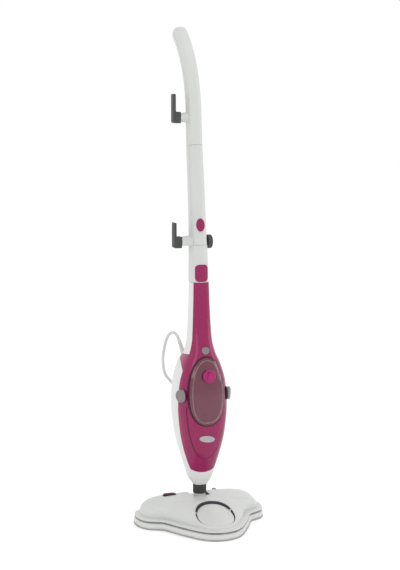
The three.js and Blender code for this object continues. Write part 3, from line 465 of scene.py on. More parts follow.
def woven(name, colour, scale=1500):
    """A narrow woven tape: crossing ribs with worn threads."""
    n = Nodes(name)
    s = n.shader
    wave = n.add("ShaderNodeTexWave", wave_type="BANDS", bands_direction="DIAGONAL")
    wave.inputs["Scale"].default_value = scale / 3
    wave.inputs["Distortion"].default_value = 1.2
    n.join(n.place, wave.inputs["Vector"])
    n.join(n.mix(wave.outputs["Fac"], shaded(colour, 0.7), shaded(colour, 1.15)), s.inputs["Base Color"])
    threads = n.bump(n.noise(scale, 3), 0.0002, 0.6)
    n.join(n.bump(wave.outputs["Fac"], 0.0003, 0.8, threads), s.inputs["Normal"])
    n.join(n.span(n.noise(90, 3), 0.75, 0.95), s.inputs["Roughness"])
    return n.material


def board(name):
    n = Nodes(name)
    s = n.shader
    tracks = n.cells(260, (1, 1, 1))
    copper = n.mix(n.span(tracks, 0, 1, 0.28, 0.3), (0.45, 0.3, 0.1), (0.02, 0.12, 0.05))
    n.join(copper, s.inputs["Base Color"])
    n.join(n.span(n.noise(200, 3), 0.3, 0.5), s.inputs["Roughness"])
    n.join(n.bump(tracks, 0.0001, 0.5), s.inputs["Normal"])
    return n.material


def studio_floor(name):
    n = Nodes(name)
    s = n.shader
    n.join(n.mix(n.noise(3, 3), (0.90, 0.90, 0.90), (0.93, 0.93, 0.93)), s.inputs["Base Color"])
    s.inputs["Roughness"].default_value = 0.6
    s.inputs["Emission Color"].default_value = (1, 1, 1, 1)
    s.inputs["Emission Strength"].default_value = 0.12
    return n.material


WHITE = (0.55, 0.56, 0.545)
MAGENTA = (0.25, 0.0015, 0.072)
LOOK = {
    "white": moulded("white_moulding", WHITE, 0.32, coat=0.15, variation=0.015, wear=0.12,
                     worn=(0.61, 0.61, 0.60)),
    "shell": moulded("shell_moulding", (0.64, 0.64, 0.635), 0.36, coat=0.1, variation=0.015, wear=0.1,
                     worn=(0.69, 0.69, 0.68)),
    "magenta": moulded("magenta_moulding", MAGENTA, 0.24, coat=0.3, variation=0.05, wear=0.15,
                       worn=(0.32, 0.02, 0.12)),
    "magenta_dark": moulded("dark_magenta_moulding", (0.045, 0.006, 0.018), 0.38, variation=0.08, wear=0.3,
                            worn=(0.13, 0.03, 0.06)),
    "cap": moulded("cap_moulding", (0.34, 0.004, 0.115), 0.28, coat=0.3, variation=0.05),
    "grey": moulded("grey_button_moulding", (0.215, 0.195, 0.195), 0.42, grain=0.00006, variation=0.05),
    "dark": moulded("dark_nylon", (0.048, 0.05, 0.05), 0.5, grain=0.00012, grain_scale=700, variation=0.1,
                    worn=(0.12, 0.12, 0.12)),
    # painted shade: near-black colour for the sheet that stands for the shadow in the gap round the hood
    "liner": moulded("dark_liner", (0.036, 0.035, 0.042), 0.5, grain=0.0001, variation=0.1),
    "cord": moulded("cord_sheath", (0.56, 0.57, 0.56), 0.45, grain=0.00005, grain_scale=500, variation=0.03),
    "lens": moulded("dark_lens", (0.03, 0.008, 0.015), 0.1, coat=0.8),
    "rubber": rubber("black_rubber", (0.036, 0.037, 0.034)),
    "rim": rubber("grey_seal", (0.15, 0.155, 0.15), 0.55),
    "hose": rubber("pale_silicone", (0.45, 0.46, 0.45), 0.4),
    "steel": metal("drawn_steel", (0.52, 0.53, 0.54), 0.3),
    "brass": metal("turned_brass", (0.55, 0.38, 0.14), 0.28),
    "badge": metal("satin_plate", (0.40, 0.37, 0.39), 0.24, (0.05, 1, 1)),
    "tank": smoked("smoked_tank", (0.50, 0.09, 0.20)),
    # painted highlight: a pale clear tint for the thin line that stands for the light along the tank's inner
    # edge
    "painted_highlight_line": smoked("painted_highlight_tint", (0.95, 0.72, 0.70)),
    "pad": microfibre("microfibre_pile", (0.66, 0.665, 0.645)),
    "tape": woven("hook_tape", (0.45, 0.46, 0.45)),
    "hem": woven("pad_binding", (0.40, 0.41, 0.39), 2200),
    "tie": woven("tie_tape", (0.05, 0.05, 0.05)),
    "board": board("circuit_board"),
    "floor": studio_floor("studio_floor"),
}


# ---- Camera, light and floor ----
def build_camera():
    azimuth, distance, height = math.radians(19), 3.2, 0.98
    data = bpy.data.cameras.new("camera")
    data.sensor_width = 36
    data.lens = 88.1
    data.clip_end = 50
    camera = bpy.data.objects.new("camera", data)
    camera.location = (-distance * math.sin(azimuth), -distance * math.cos(azimuth), height)
    yaw, pitch = math.radians(19.016), math.radians(-7.486)
    look = Vector((math.sin(yaw) * math.cos(pitch), math.cos(yaw) * math.cos(pitch), math.sin(pitch)))
    camera.rotation_euler = look.to_track_quat("-Z", "Y").to_euler()
    bpy.context.scene.collection.objects.link(camera)
    bpy.context.scene.camera = camera


def area_light(name, place, aim, size, height, power, colour=(1, 1, 1)):
    data = bpy.data.lights.new(name, "AREA")
    data.shape = "RECTANGLE"
    data.size, data.size_y = size, height
    data.energy = power
    data.color = colour
    light = bpy.data.objects.new(name, data)
    light.location = place
    light.rotation_euler = (Vector(aim) - Vector(place)).to_track_quat("-Z", "Y").to_euler()
    bpy.context.scene.collection.objects.link(light)


def build_studio():
    world = bpy.data.worlds.new("studio")
    world.use_nodes = True
    world.node_tree.nodes["Background"].inputs["Color"].default_value = (1, 1, 1, 1)
    world.node_tree.nodes["Background"].inputs["Strength"].default_value = 1.0
    bpy.context.scene.world = world
    bpy.context.scene.view_settings.view_transform = "Standard"
    area_light("key", (-2.6, -1.9, 2.3), (0, 0, 0.6), 1.4, 2.4, 16)
    area_light("rim", (2.4, -0.8, 1.6), (0, 0, 0.6), 0.7, 2.4, 12)
    area_light("top", (0.2, -0.6, 3.4), (0, 0, 0.2), 2.4, 2.4, 8)
    corners = ((-FLOOR_REACH, -FLOOR_REACH), (FLOOR_REACH, -FLOOR_REACH), (FLOOR_REACH, FLOOR_REACH),
               (-FLOOR_REACH, FLOOR_REACH))
    floor = loft("studio_floor_sheet", [[(x, y, h) for x, y in corners] for h in (-6, -0.02)])
    floor.data.materials.append(LOOK["floor"])


# ---- Floor head ----
HEAD_LEFT = [(-x, y) for x, y in HEAD_OUTLINE[-2:0:-1]]
HEAD_POINTS = smooth_line([(x, y, 0) for x, y in HEAD_OUTLINE + HEAD_LEFT], 180, closed=True)


def head_outline(inset):
    result = []
    for i, point in enumerate(HEAD_POINTS):
        before, after = HEAD_POINTS[i - 1], HEAD_POINTS[(i + 1) % len(HEAD_POINTS)]
        inward = Vector((before.y - after.y, after.x - before.x, 0)).normalized()
        result.append(point + inward * inset)
    return result


DOME_FOOT = head_outline(DOME_INSET)


def dome_height(y, share, rear):
    crest = DOME_RISE - 30 * smoothstep(-60 - y, 0, 118)
    power = 2.4 + 3.6 * smoothstep(rear, 0.25, 0.95)
    return FLANGE_TOP + crest * (1 - min(share, 1) ** power) ** (1 / power)


def dome_at(x, y):
    way = Vector((x, y, 0)) - DOME_CENTRE
    direction = way.normalized()
    reach = 1.0
    for a, b in zip(DOME_FOOT, DOME_FOOT[1:] + DOME_FOOT[:1]):
        p, edge = a - DOME_CENTRE, b - a
        across = direction.x * edge.y - direction.y * edge.x
        if abs(across) > 1e-9:
            along = (p.x * direction.y - p.y * direction.x) / across
            if 0 <= along <= 1:
                reach = max(reach, (p.x * edge.y - p.y * edge.x) / across)
    return dome_height(y, way.length / reach, direction.y)


def level(outline, z):
    return [Vector((p[0], p[1], z)) for p in outline]


DOME_SHARES = (0.996, 0.985, 0.97, 0.95, 0.92, 0.88, 0.83, 0.77, 0.7, 0.6, 0.48, 0.34, 0.18, 0.06)


def dome_rings(foot, lower, shares=DOME_SHARES):
    rings = []
    for share in shares:
        ring = []
        for p in foot:
            way = p - DOME_CENTRE
            at = DOME_CENTRE + way * share
            ring.append(Vector((at.x, at.y, dome_height(at.y, share, way.normalized().y) - lower)))
        rings.append(ring)
    return rings


def build_cover():
    foot = head_outline(DOME_INSET - 1.2)
    cover = loft("cover", [
        level(HEAD_POINTS, COVER_LOW), level(HEAD_POINTS, FLANGE_TOP - 1.4),
        level(head_outline(0.4), FLANGE_TOP - 0.5), level(head_outline(1.3), FLANGE_TOP),
        level(foot, FLANGE_TOP + 0.05), level(DOME_FOOT, FLANGE_TOP + 0.5),
        *dome_rings(DOME_FOOT, 0),
    ])
    inner_foot = head_outline(DOME_INSET + 2.6)
    inner = loft("cutter", [level(head_outline(3), COVER_LOW - 1), level(head_outline(3), FLANGE_TOP - 2.2),
                            level(inner_foot, FLANGE_TOP - 2.2),
                            *dome_rings(inner_foot, 2.6, (0.97, 0.9, 0.75, 0.5, 0.2))])
    subtract(cover, inner)
    tray = box((-NOTCH_HALF - 2.4, NOTCH_FRONT - 2.4, NOTCH_FLOOR - 2.4), (NOTCH_HALF + 2.4, 47, 52))
    unite(cover, tray)
    subtract(
        cover,
        plate_z(rounded_rect(-NOTCH_HALF, NOTCH_FRONT, NOTCH_HALF, 80, 8), NOTCH_FLOOR, 90),
        plate_z(rounded_rect(PEDAL_X - PEDAL_W / 2 - 0.6, PEDAL_Y - PEDAL_D / 2 - 0.6,
                             PEDAL_X + PEDAL_W / 2 + 0.6, PEDAL_Y + PEDAL_D / 2 + 0.6, 6), 30, 90),
        rod((0, HOOD_HOLE_Y, 10), (0, HOOD_HOLE_Y, 90), HOOD_HOLE_R, 96),
        rod((LOCK_X, LOCK_Y, 30), (LOCK_X, LOCK_Y, 90), LOCK_R + 0.5, 32),
    )
    finished(cover, "top_cover_finish", "floor_head", LOOK["white"], ["head_top_cover"], 0.7)


def build_hood():
    rings = [[]]
    for share in (1, 0.992, 0.975, 0.95, 0.9, 0.8, 0.65, 0.45, 0.25, 0.08):
        ring = []
        for i in range(96):
            angle = 2 * math.pi * i / 96
            x, y = HOOD_R * share * math.cos(angle), HOOD_Y + HOOD_R * share * math.sin(angle)
            drop = HOOD_DROP * smoothstep(y, HOOD_Y - HOOD_R, HOOD_Y + HOOD_R)
            ring.append(Vector((x, y, dome_at(x, y) - drop - 2.2 * (1 - math.sqrt(1 - share ** 24)))))
        rings.append(ring)
    rings[0] = level(rings[1], 22.4)
    finished(loft("hood", rings), "front_hood_finish", "floor_head", LOOK["white"], ["front_hood"], 0)
    # Painted shade: a near-black sheet at the bottom of the gap round the hood stands for the shadow in that
    # gap.
    liner = loft("liner", [level(DOME_FOOT, 22.4), *dome_rings(DOME_FOOT, 0.9)])
    intersect(liner, rod((0, HOOD_HOLE_Y, 22.5), (0, HOOD_HOLE_Y, 90), HOOD_HOLE_R - 0.3, 96))
    subtract(liner, rod((0, HOOD_Y, 10), (0, HOOD_Y, 90), HOOD_R + 0.25, 96))
    finished(liner, "hood_liner_finish", "floor_head", LOOK["liner"], ["hood_liner"], 0.3)
    for side, sign in (("left", -1), ("right", 1)):
        x, y = sign * 43.4, HOOD_HOLE_Y + 13.5
        top = dome_at(x, y)
        tab = plate_z(rounded_rect(x - 3.4, y - 2.6, x + 3.4, y + 2.6, 1.6), top - 6, top - 0.6)
        finished(tab, f"hood_hinge_tab_{side}", "floor_head", LOOK["white"], [], 0.5)


def build_rim():
    rim = loft("rim", [level(head_outline(1.6), RIM_LOW), level(head_outline(0.7), RIM_LOW + 0.8),
                       level(head_outline(0.6), (RIM_LOW + RIM_TOP) / 2),
                       level(head_outline(0.7), RIM_TOP - 0.8), level(head_outline(1.6), RIM_TOP)])
    subtract(rim, plate_z([(p.x, p.y) for p in head_outline(12)], RIM_LOW - 2, RIM_TOP + 2))
    finished(rim, "rim_seal_finish", "floor_head", LOOK["rim"], ["rim_gasket"], 0)


def build_pad():
    """The pad: crowned pile sides over a bound lower edge, its underside flat on the floor."""
    top = 15.9
    profile = [(9, 0.3), (4.5, 0.1), (1.6, 0.35), (0.3, 1.5), (-0.5, 3.6), (-1.1, 6.5), (-1.2, 9.5),
               (-0.6, 12.4), (0.6, 14.6), (2.6, top), (7, top + 0.02), (12, top)]
    count = 420
    outline = smooth_line(HEAD_POINTS, count, closed=True)
    rings = []
    for inset, z in profile:
        ring = []
        for i, p in enumerate(outline):
            before, after = outline[i - 1], outline[(i + 1) % count]
            inward = Vector((before.y - after.y, after.x - before.x, 0)).normalized()
            pile = lift = 0
            if 1 < z < top - 0.5:
                pile = noise.noise(Vector((p.x, p.y, z * 2.2)) * 0.11) * 0.55
                pile += noise.noise(Vector((p.x, p.y, z)) * 0.5) * 0.3
                lift = 0.25 * noise.noise(Vector((p.x, p.y, 40)) * 0.05)
            sunk = 0.9 if abs(z - 3.6) < 0.01 else 0
            ring.append(p + inward * (inset + sunk - pile) + Z * (z + lift))
        rings.append(ring)
    pad = loft("pad", rings)
    finished(pad, "microfibre_pad_cloth", "floor_head", LOOK["pad"], ["microfibre_pad"], 0)
    build_hem()


def build_hem():
    """The stitched binding round the pad's lower edge."""
    outline = smooth_line(HEAD_POINTS, 420, closed=True)
    rings = []
    for i, p in enumerate(outline + outline[:1]):
        before, after = outline[(i - 1) % 420], outline[(i + 1) % 420]
        inward = Vector((before.y - after.y, after.x - before.x, 0)).normalized()
        stitch = 0.22 * math.sin(i * 2 * math.pi / 3)
        section = [(1.2, 0.4), (-0.9 - stitch, 0.9), (-1.3 - stitch, 2.0), (-0.9 - stitch, 3.2), (1.2, 3.9)]
        rings.append([p + inward * a + Z * b for a, b in section])
    points = [p for ring in rings[:-1] for p in ring]
    faces = []
    for i in range(420):
        for j in range(5):
            k, following = (j + 1) % 5, (i + 1) % 420
            faces.append((i * 5 + j, following * 5 + j, following * 5 + k, i * 5 + k))
    hem = mesh_object("hem", points, faces)
    finished(hem, "pad_binding", "floor_head", LOOK["hem"], [], 0)


def build_pedal():
    rings = []
    for z, inset in ((PEDAL_LOW, 0), (63.5, 0), (65.4, 0.5), (66.4, 1.6), (66.9, 3.2)):
        outline = rounded_rect(-PEDAL_W / 2 + inset, -PEDAL_D / 2 + inset, PEDAL_W / 2 - inset,
                               PEDAL_D / 2 - inset, 6 - inset * 0.6, 8)
        rings.append([Vector((PEDAL_X + a, PEDAL_Y + b, z - 0.006 * a * a)) for a, b in outline])
    rings[0] = level(rings[0], PEDAL_LOW)
    pedal = loft("pedal", rings)
    for i in (-1, 0, 1):
        groove_x = PEDAL_X + i * 7
        start, end = (groove_x, PEDAL_Y - 5, 67.6 - 0.3 * abs(i)), (groove_x, PEDAL_Y + 5, 67.6)
        subtract(pedal, rod(start, end, 1.3, 12))
    finished(pedal, "foot_pedal_finish", "foot_pedal", LOOK["magenta_dark"], ["foot_pedal"], 0.3)
    lock = spindle("lock", round_ends(LOCK_R, 0, LOCK_TOP - 42, 1.2), (LOCK_X, LOCK_Y, 42), Z, 48)
    finished(lock, "lock_button_finish", "lock_button", LOOK["grey"], ["lock_button"], 0)


def build_neck():
    profile = [(10.5, 0), (12.2, 6), (14, 12), (14.5, 15), (14.5, 23.8), (14.0, 24.6)]
    stub = spindle("stub", profile, (0, 0, TILT_Z), Z, 72)
    unite(stub, spindle("cutter", round_ends(12, -20, 20, 1.2), (0, 0, TILT_Z), X, 72))
    finished(stub, "neck_yoke_finish", "neck", LOOK["white"], ["neck_yoke"], 0.4)
    profile = [(10.5, 0)]
    ribs, pitch = 9, 21.7 / 9
    for i in range(ribs):
        low, high = i * pitch, (i + 1) * pitch
        profile += [(15.0, low), (15.7, low + 0.35), (16.0, low + 0.8), (16.0, high - 0.8),
                    (15.7, high - 0.35), (15.0, high - 0.02)]
    profile.append((10.5, 21.7))
    collar = spindle("collar", profile, (0, 0, 67), Z, 96)
    for i in range(24):
        angle = 2 * math.pi * i / 24
        at = Vector((16.2 * math.cos(angle), 16.2 * math.sin(angle), 0))
        subtract(collar, rod(at + Z * 60, at + Z * 95, 0.55, 8))
    finished(collar, "swivel_collar_finish", "neck", LOOK["rubber"], ["swivel_collar"], 0)


# ---- Housing ----
housing_at = between(HOUSING)


def section_ring(half, front, rear, sides):
    ring = []
    for i in range(sides):
        angle = 2 * math.pi * i / sides
        c, s = math.cos(angle), math.sin(angle)
        x = half * math.copysign(abs(c) ** (2 / SQUARENESS), c)
        y = (front if s < 0 else rear) * math.copysign(abs(s) ** (2 / SQUARENESS), s)
        ring.append((x, y))
    return ring


def housing_solid(inset, low=89.0, high=566.7, extra=lambda z: 0.0):
    inner = inset > 1
    pitch, sides = (16, 40) if inner else (6, 112)
    count = max(2, round((high - low) / pitch))
    rings = []
    for i in range(count + 1):
        z = low + (high - low) * i / count
        half, front, rear = housing_at(z)
        ring = section_ring(half - inset, front - inset + extra(z), rear - inset, sides)
        rings.append([Vector((x, y, z)) for x, y in ring])
    return loft("housing", rings)


def mirrored(points):
    return points + [(-a, b) for a, b in reversed(points[1:-1])]


def tank_window(margin):
    half, low, high = TANK_HALF + margin, TANK_LOW - margin, TANK_HIGH + margin
    right = bezier((0, low), (half * 0.66, low), (half, TANK_WAIST - 44), (half, TANK_WAIST))
    right += bezier((half, TANK_WAIST), (half, TANK_WAIST + 44), (half * 0.62, high), (0, high))
    return mirrored(right + [(0, high)])


def tank_bulge(z):
    share = min(1, max(0, (z - TANK_LOW + 18) / (TANK_HIGH - TANK_LOW + 36)))
    return TANK_BULGE * math.sin(math.pi * share) ** 0.8


def release_point(sign, outward):
    return Vector((sign * (RELEASE_X + outward * math.sin(RELEASE_ANGLE)),
                   RELEASE_Y - outward * math.cos(RELEASE_ANGLE), RELEASE_Z))


def front_region(grow=0.0):
    bottom = COVER_BOTTOM + 40
    arc = [(48 * math.cos(math.radians(a)), bottom + (bottom - COVER_BOTTOM) * math.sin(math.radians(a)))
           for a in range(-90, 1, 6)]
    right = [(a + (grow if a > 0 else 0), b - grow) for a, b in arc] + [(90, 200), (90, 590), (0, 590)]
    front = plate_y(mirrored(right), -120, 0)
    side = smooth_line([(y + grow, z, 0) for y, z in SEAM_LINE], 20)
    intersect(front, plate_x([(-120, 100)] + [(p.x, p.y) for p in side] + [(-120, 580)], -95, 95))
    wing = [(WING_ROOT - 20, WING_LOW - grow)]
    wing += bezier((WING_ROOT, WING_LOW - grow), (-12, 372 - grow), (14, 386 - grow),
                   (WING_BACK + grow, WING_HIGH - 5 - grow), 8)
    wing += [(WING_BACK + grow, WING_HIGH - 3), (WING_BACK - 3, WING_HIGH + grow),
             (WING_ROOT, WING_HIGH + 6 + grow), (WING_ROOT - 20, WING_HIGH + 6 + grow)]
    return unite(front, plate_x(wing, -95, 95))


def build_shells():
    holes = []
    for sign in (-1, 1):
        holes.append((release_point(sign, -22), release_point(sign, 22)))
    rear = subtract(housing_solid(0), housing_solid(2.8, 92.5, 571), front_region(0.25),
                    rod((0, 0, 80), (0, 0, 110), 9.9, 32))
    for z in (500, 175):
        subtract(rear, rod((0, 20, z), (0, 90, z), 2.6, 24))
    for start, end in holes:
        subtract(rear, rod(start, end, RELEASE_R + 0.5))
    subtract(rear, rod((-17, 55, 362), (-21, 59, 392), 6.1, 32))
    for i in range(7):
        subtract(rear, plate_y(rounded_rect(-15, 214 + i * 6, 15, 216.4 + i * 6, 1.1, 3), 60, 90))
    finished(rear, "rear_shell_finish", "housing", LOOK["shell"], ["rear_shell"], 0.6)

    cover = subtract(housing_solid(0), housing_solid(2.8, 92.5, 571))
    intersect(cover, front_region(0.0))
    subtract(cover, plate_y(tank_window(TANK_RING + 0.3), -120, TANK_BACK + 3))
    for sign, (start, end) in zip((-1, 1), holes):
        hole = rod(start, end, RELEASE_R + 0.5)
        inner, outer = sorted((0, sign * (RELEASE_CLEAR + 1.5)))
        subtract(cover, subtract(hole, box((inner, -130, 280), (outer, 10, 340))))
    subtract(cover, rod((0, -80, STEAM_Z), (0, -20, STEAM_Z), STEAM_R + 0.4),
             rod((0, -80, 227), (0, -30, 227), 2.4, 24))
    finished(cover, "front_cover_finish", "housing", LOOK["magenta"], ["front_cover"], 0.6)


def shield_outline(margin):
    """The U-shaped panel below the tank, its arms rising beside the tank's ring."""
    half = 48 + margin
    right = bezier((0, 156 - margin), (26 + margin, 156 - margin), (half - 2, 212), (half, 282))
    return mirrored(right + [(half, 282), (half - 6, 286), (0, 286)])


def shield_layer(inset):
    layer = subtract(housing_solid(inset, 140, 300), housing_solid(0.5, 130, 310))
    return subtract(layer, plate_y(tank_window(TANK_RING + 0.3), -120, 0))


def build_front_trim():
    seam = intersect(shield_layer(-0.25), plate_y(shield_outline(0.5), -100, -15))
    subtract(seam, plate_y(shield_outline(-1.2), -120, 0))
    finished(seam, "shield_seam", "housing", LOOK["magenta_dark"], [], 0)
    panel = intersect(shield_layer(-1.2), plate_y(shield_outline(-1.2), -100, -15))
    finished(panel, "shield_panel_finish", "housing", LOOK["magenta"], ["shield_panel"], 0.5)
    tilt = -0.14
    oval = []
    for i in range(48):
        a, b = 19 * math.cos(math.pi * i / 24), 8 * math.sin(math.pi * i / 24)
        oval.append((a * math.cos(tilt) - b * math.sin(tilt), 207 + a * math.sin(tilt) + b * math.cos(tilt)))
    plate = subtract(housing_solid(-2.6, 180, 236), housing_solid(-1, 170, 246))
    intersect(plate, plate_y(oval, -100, -15))
    finished(plate, "badge_finish", "housing", LOOK["badge"], ["badge"], 0.4)
    front = housing_at(227)[1]
    lens = spindle("lens", round_ends(2.1, 0, 7, 0.8), (0, -front + 6, 227), -Y, 24)
    finished(lens, "indicator_lens_finish", "housing", LOOK["lens"], ["indicator_lens"], 0)
    front = housing_at(STEAM_Z)[1]
    profile = round_ends(STEAM_R, 0, 13.3, 1.2) + [(STEAM_R - 2.4, 12.9), (STEAM_R - 4, 12.6)]
    button = spindle("steam", profile, (0, -front + 9, STEAM_Z), -Y, 64)
    finished(button, "steam_button_finish", "steam_button", LOOK["grey"], ["steam_button"], 0)
    for side, sign in (("left", -1), ("right", 1)):
        axis = Vector((sign * math.sin(RELEASE_ANGLE), -math.cos(RELEASE_ANGLE), 0))
        profile = round_ends(RELEASE_R, 0, 16, 2.0) + [(11, 15.9), (10.2, 15.3), (9.4, 15.6), (6, 15.8)]
        body = spindle("release", profile, release_point(sign, -8), axis, 72)
        edges = sorted((sign * (RELEASE_CLEAR + 3), sign * 120))
        intersect(body, box((edges[0], -100, 250), (edges[1], 40, 370)))
        finished(body, f"release_{side}_finish", f"release_{side}", LOOK["grey"],
                 [f"release_button_{side}"], 0.5)


def build_tank():
    low, high = TANK_LOW - 25, TANK_HIGH + 25
    tank = intersect(housing_solid(0, low, high, tank_bulge), plate_y(tank_window(0), -120, TANK_BACK))
    inner = intersect(housing_solid(2.4, low, high, tank_bulge),
                      plate_y(tank_window(-2.4), -120, TANK_BACK - 2.4))
    subtract(tank, inner, rod((0, -100, CAP_Z), (0, -50, CAP_Z), 10, 48))
    finished(tank, "water_tank_finish", "tank", LOOK["tank"], ["water_tank"], 1.4)
    # Painted highlight: a thin pale tube along the tank's inner contour stands for the light line that this
    # edge catches.
    line = []
    for x, z in tank_window(-6.5):
        half, front, _ = housing_at(z)
        reach = (front + tank_bulge(z)) * (1 - (abs(x) / half) ** SQUARENESS) ** (1 / SQUARENESS)
        line.append(Vector((x, -reach, z)))
    painted_highlight_line = tube_along("painted_highlight_line", line + line[:1], lambda t: 0.95, 10)
    finished(painted_highlight_line, "tank_painted_highlight_line", "tank", LOOK["painted_highlight_line"], [], 0)
    ring = housing_solid(-0.8, low, high)
    intersect(ring, plate_y(tank_window(TANK_RING), -120, TANK_BACK + 2.7))
    subtract(ring, plate_y(tank_window(0.3), -121, TANK_BACK + 10), housing_solid(8, low - 5, high + 5))
    finished(ring, "tank_bezel_finish", "housing", LOOK["magenta_dark"], ["tank_bezel"], 0.5)
    grip = bezier((0, CAP_Z - 8.5), (5.5, CAP_Z - 8.5), (7, CAP_Z - 2), (4.5, CAP_Z + 3))
    grip += bezier((4.5, CAP_Z + 3), (3, CAP_Z + 7), (1.2, CAP_Z + 9.5), (0, CAP_Z + 11)) + [(0, CAP_Z + 11)]
    profile = [(9.4, -14), (9.4, -6), (15, -6), (15, -1.6), (14.5, -0.6), (13.4, 0), (12, 0.15),
               (11.2, -0.3), (6, 0.1)]
    cap = spindle("cap", profile, (0, CAP_FRONT, CAP_Z), -Y, 72)
    unite(cap, plate_y(mirrored(grip), CAP_FRONT - 3.8, CAP_FRONT + 1))
    finished(cap, "tank_cap_finish", "tank_cap", LOOK["cap"], ["tank_cap"], 0.7)


# ---- Pole ----
POLE_POINTS = smooth_line([(0, y, z) for y, z in POLE_LINE], 700)
pole_size_at = between(POLE_SIZE)


def pole_at(z):
    i = next((k for k, p in enumerate(POLE_POINTS) if p.z >= z), len(POLE_POINTS) - 1)
    i = min(max(i, 1), len(POLE_POINTS) - 2)
    along = (POLE_POINTS[i + 1] - POLE_POINTS[i - 1]).normalized()
    span = POLE_POINTS[i].z - POLE_POINTS[i - 1].z
    centre = POLE_POINTS[i - 1].lerp(POLE_POINTS[i], (z - POLE_POINTS[i - 1].z) / span)
    return centre, along, Vector((0, -along.z, along.y))


def pole_ring(z, inset, scale=1.0, ahead=0.0, sides=64):
    centre, along, forward = pole_at(z)
    width, depth = pole_size_at(z)
    reach = (depth / 2 - inset) * scale
    ring = section_ring((width / 2 - inset) * scale, reach, reach, sides)
    return [centre + X * x - forward * y + along * ahead for x, y in ring]


def pole_solid(low, high, inset, pitch=9):
    count = max(2, round((high - low) / pitch))
    return loft("pole", [pole_ring(low + (high - low) * i / count, inset) for i in range(count + 1)])


def handle_solid(inset):
    low = UPPER_POLE_LOW - (2 if inset else 0)
    rings = [pole_ring(low + (HANDLE_TOP - low) * i / 84, inset) for i in range(85)]
    if not inset:
        for t in (0.15, 0.35, 0.55, 0.72, 0.86, 0.95, 0.99):
            rings.append(pole_ring(HANDLE_TOP, 0, math.sqrt(1 - t * t), 12 * t))
    return loft("handle", rings)


def front_bar(low, high, ahead):
    rings = []
    for i in range(41):
        centre, _, forward = pole_at(low + (high - low) * i / 40)
        rings.append([centre + X * x + forward * reach
                      for x, reach in ((-30, 40), (30, 40), (30, ahead), (-30, ahead))])
    return loft("cutter", rings)


def latch_shape(margin):
    return rounded_rect(-LATCH_HALF - margin, LATCH_LOW - margin, LATCH_HALF + margin, LATCH_TOP + margin, 9)


def aimed_oval(margin, near, far):
    centre, _, forward = pole_at(BUTTON_Z)
    turn = Matrix.Rotation(-math.atan2(forward.z, -forward.y), 4, "X")
    middle = Vector((0, centre.y, BUTTON_Z))
    outline = [((BUTTON_W + margin) * math.cos(a), (BUTTON_H + margin) * math.sin(a))
               for a in (math.pi * i / 32 for i in range(64))]
    return prism(outline, far, near, lambda a, b, t: middle + turn @ Vector((a, t, b)))


def build_pole():
    tube = subtract(pole_solid(567.1, 651, 0), pole_solid(560, 660, 2.5, 30),
                    plate_y(latch_shape(0.4), -60, 5))
    finished(tube, "lower_tube_finish", "lower_pole", LOOK["white"], ["lower_tube"], 0.6)
    latch = intersect(pole_solid(562, 616, -1.4), plate_y(latch_shape(0), -60, 0))
    subtract(latch, pole_solid(555, 625, 3.2, 20))
    for i in range(4):
        subtract(latch, rod((-8, -18.6, 595 + i * 3.2), (8, -18.6, 595 + i * 3.2), 0.7, 10))
    finished(latch, "pole_latch_finish", "pole_latch", LOOK["magenta"], ["pole_latch"], 0.8)

    def bore():
        return rod((-60, *LOWER_HOOK), (60, *LOWER_HOOK), 4.4, 32)

    rear = subtract(handle_solid(0), handle_solid(2.5), front_bar(UPPER_POLE_LOW - 5, PANEL_TOP + 0.2, 8.7),
                    front_bar(PANEL_TOP, HANDLE_TOP + 4, 3.7), bore())
    finished(rear, "pole_shell_finish", "upper_pole", LOOK["white"], ["pole_rear_shell"], 0.5)
    for label, centre, radii, reach in (("upper", UPPER_HOOK, (12, 10), (-14, -32.7)),
                                         ("lower", LOWER_HOOK, (15, 13), (-17, -40.7))):
        length = reach[0] - reach[1]
        profile = [(radii[0] + 2.5, 0), (radii[0] + 0.6, 3), (radii[0], 6), (radii[1], length - 1),
                   (radii[1] - 0.8, length)]
        boss = spindle("boss", profile, (reach[0], *centre), -X, 64)
        subtract(boss, handle_solid(2.5))
        if label == "lower":
            subtract(boss, box((-60, -60, 600), (60, 90, UPPER_POLE_LOW)), bore())
        finished(boss, f"{label}_hook_boss", "upper_pole", LOOK["white"], [], 0.5)

    panel = subtract(pole_solid(UPPER_POLE_LOW, PANEL_TOP - 0.4, 0.6), pole_solid(640, 900, 2.9, 30))
    intersect(panel, front_bar(UPPER_POLE_LOW - 5, PANEL_TOP, 9))
    subtract(panel, aimed_oval(0.5, -60, 0), bore())
    finished(panel, "pole_panel_finish", "upper_pole", LOOK["white"], ["pole_front_panel"], 0.6)
    front = subtract(handle_solid(0), handle_solid(2.5))
    intersect(front, front_bar(PANEL_TOP + 0.1, HANDLE_TOP + 4, 4))
    finished(front, "handle_front_finish", "upper_pole", LOOK["white"], ["handle_front"], 0.5)

    button = intersect(pole_solid(672, 722, -2.2), aimed_oval(0, -60, -14))
    subtract(button, pole_solid(660, 735, 7, 20))
    centre, _, forward = pole_at(BUTTON_Z)
    subtract(button, rod(centre + forward * 34 - X * 12, centre + forward * 34 + X * 12, 8.6, 48))
    finished(button, "pole_button_finish", "pole_button", LOOK["magenta"], ["pole_button"], 0.9)
    knob = spindle("knob", [(16, 0), (16, 8.4), (15.4, 9.9), (14, 11), (9, 11), (8, 10.2), (4, 10.2)],
                   (21.9, *LOWER_HOOK), X, 64)
    for i in range(18):
        angle = 2 * math.pi * i / 18
        at = Vector((0, LOWER_HOOK[0] + 16.6 * math.cos(angle), LOWER_HOOK[1] + 16.6 * math.sin(angle)))
        subtract(knob, rod(at + X * 22.6, at + X * 32, 1.1, 10))
    unite(knob, rod((-49.5, *LOWER_HOOK), (22.4, *LOWER_HOOK), 4, 32))
    finished(knob, "hook_knob_finish", "cord_hook", LOOK["dark"], ["hook_knob"], 0.4)


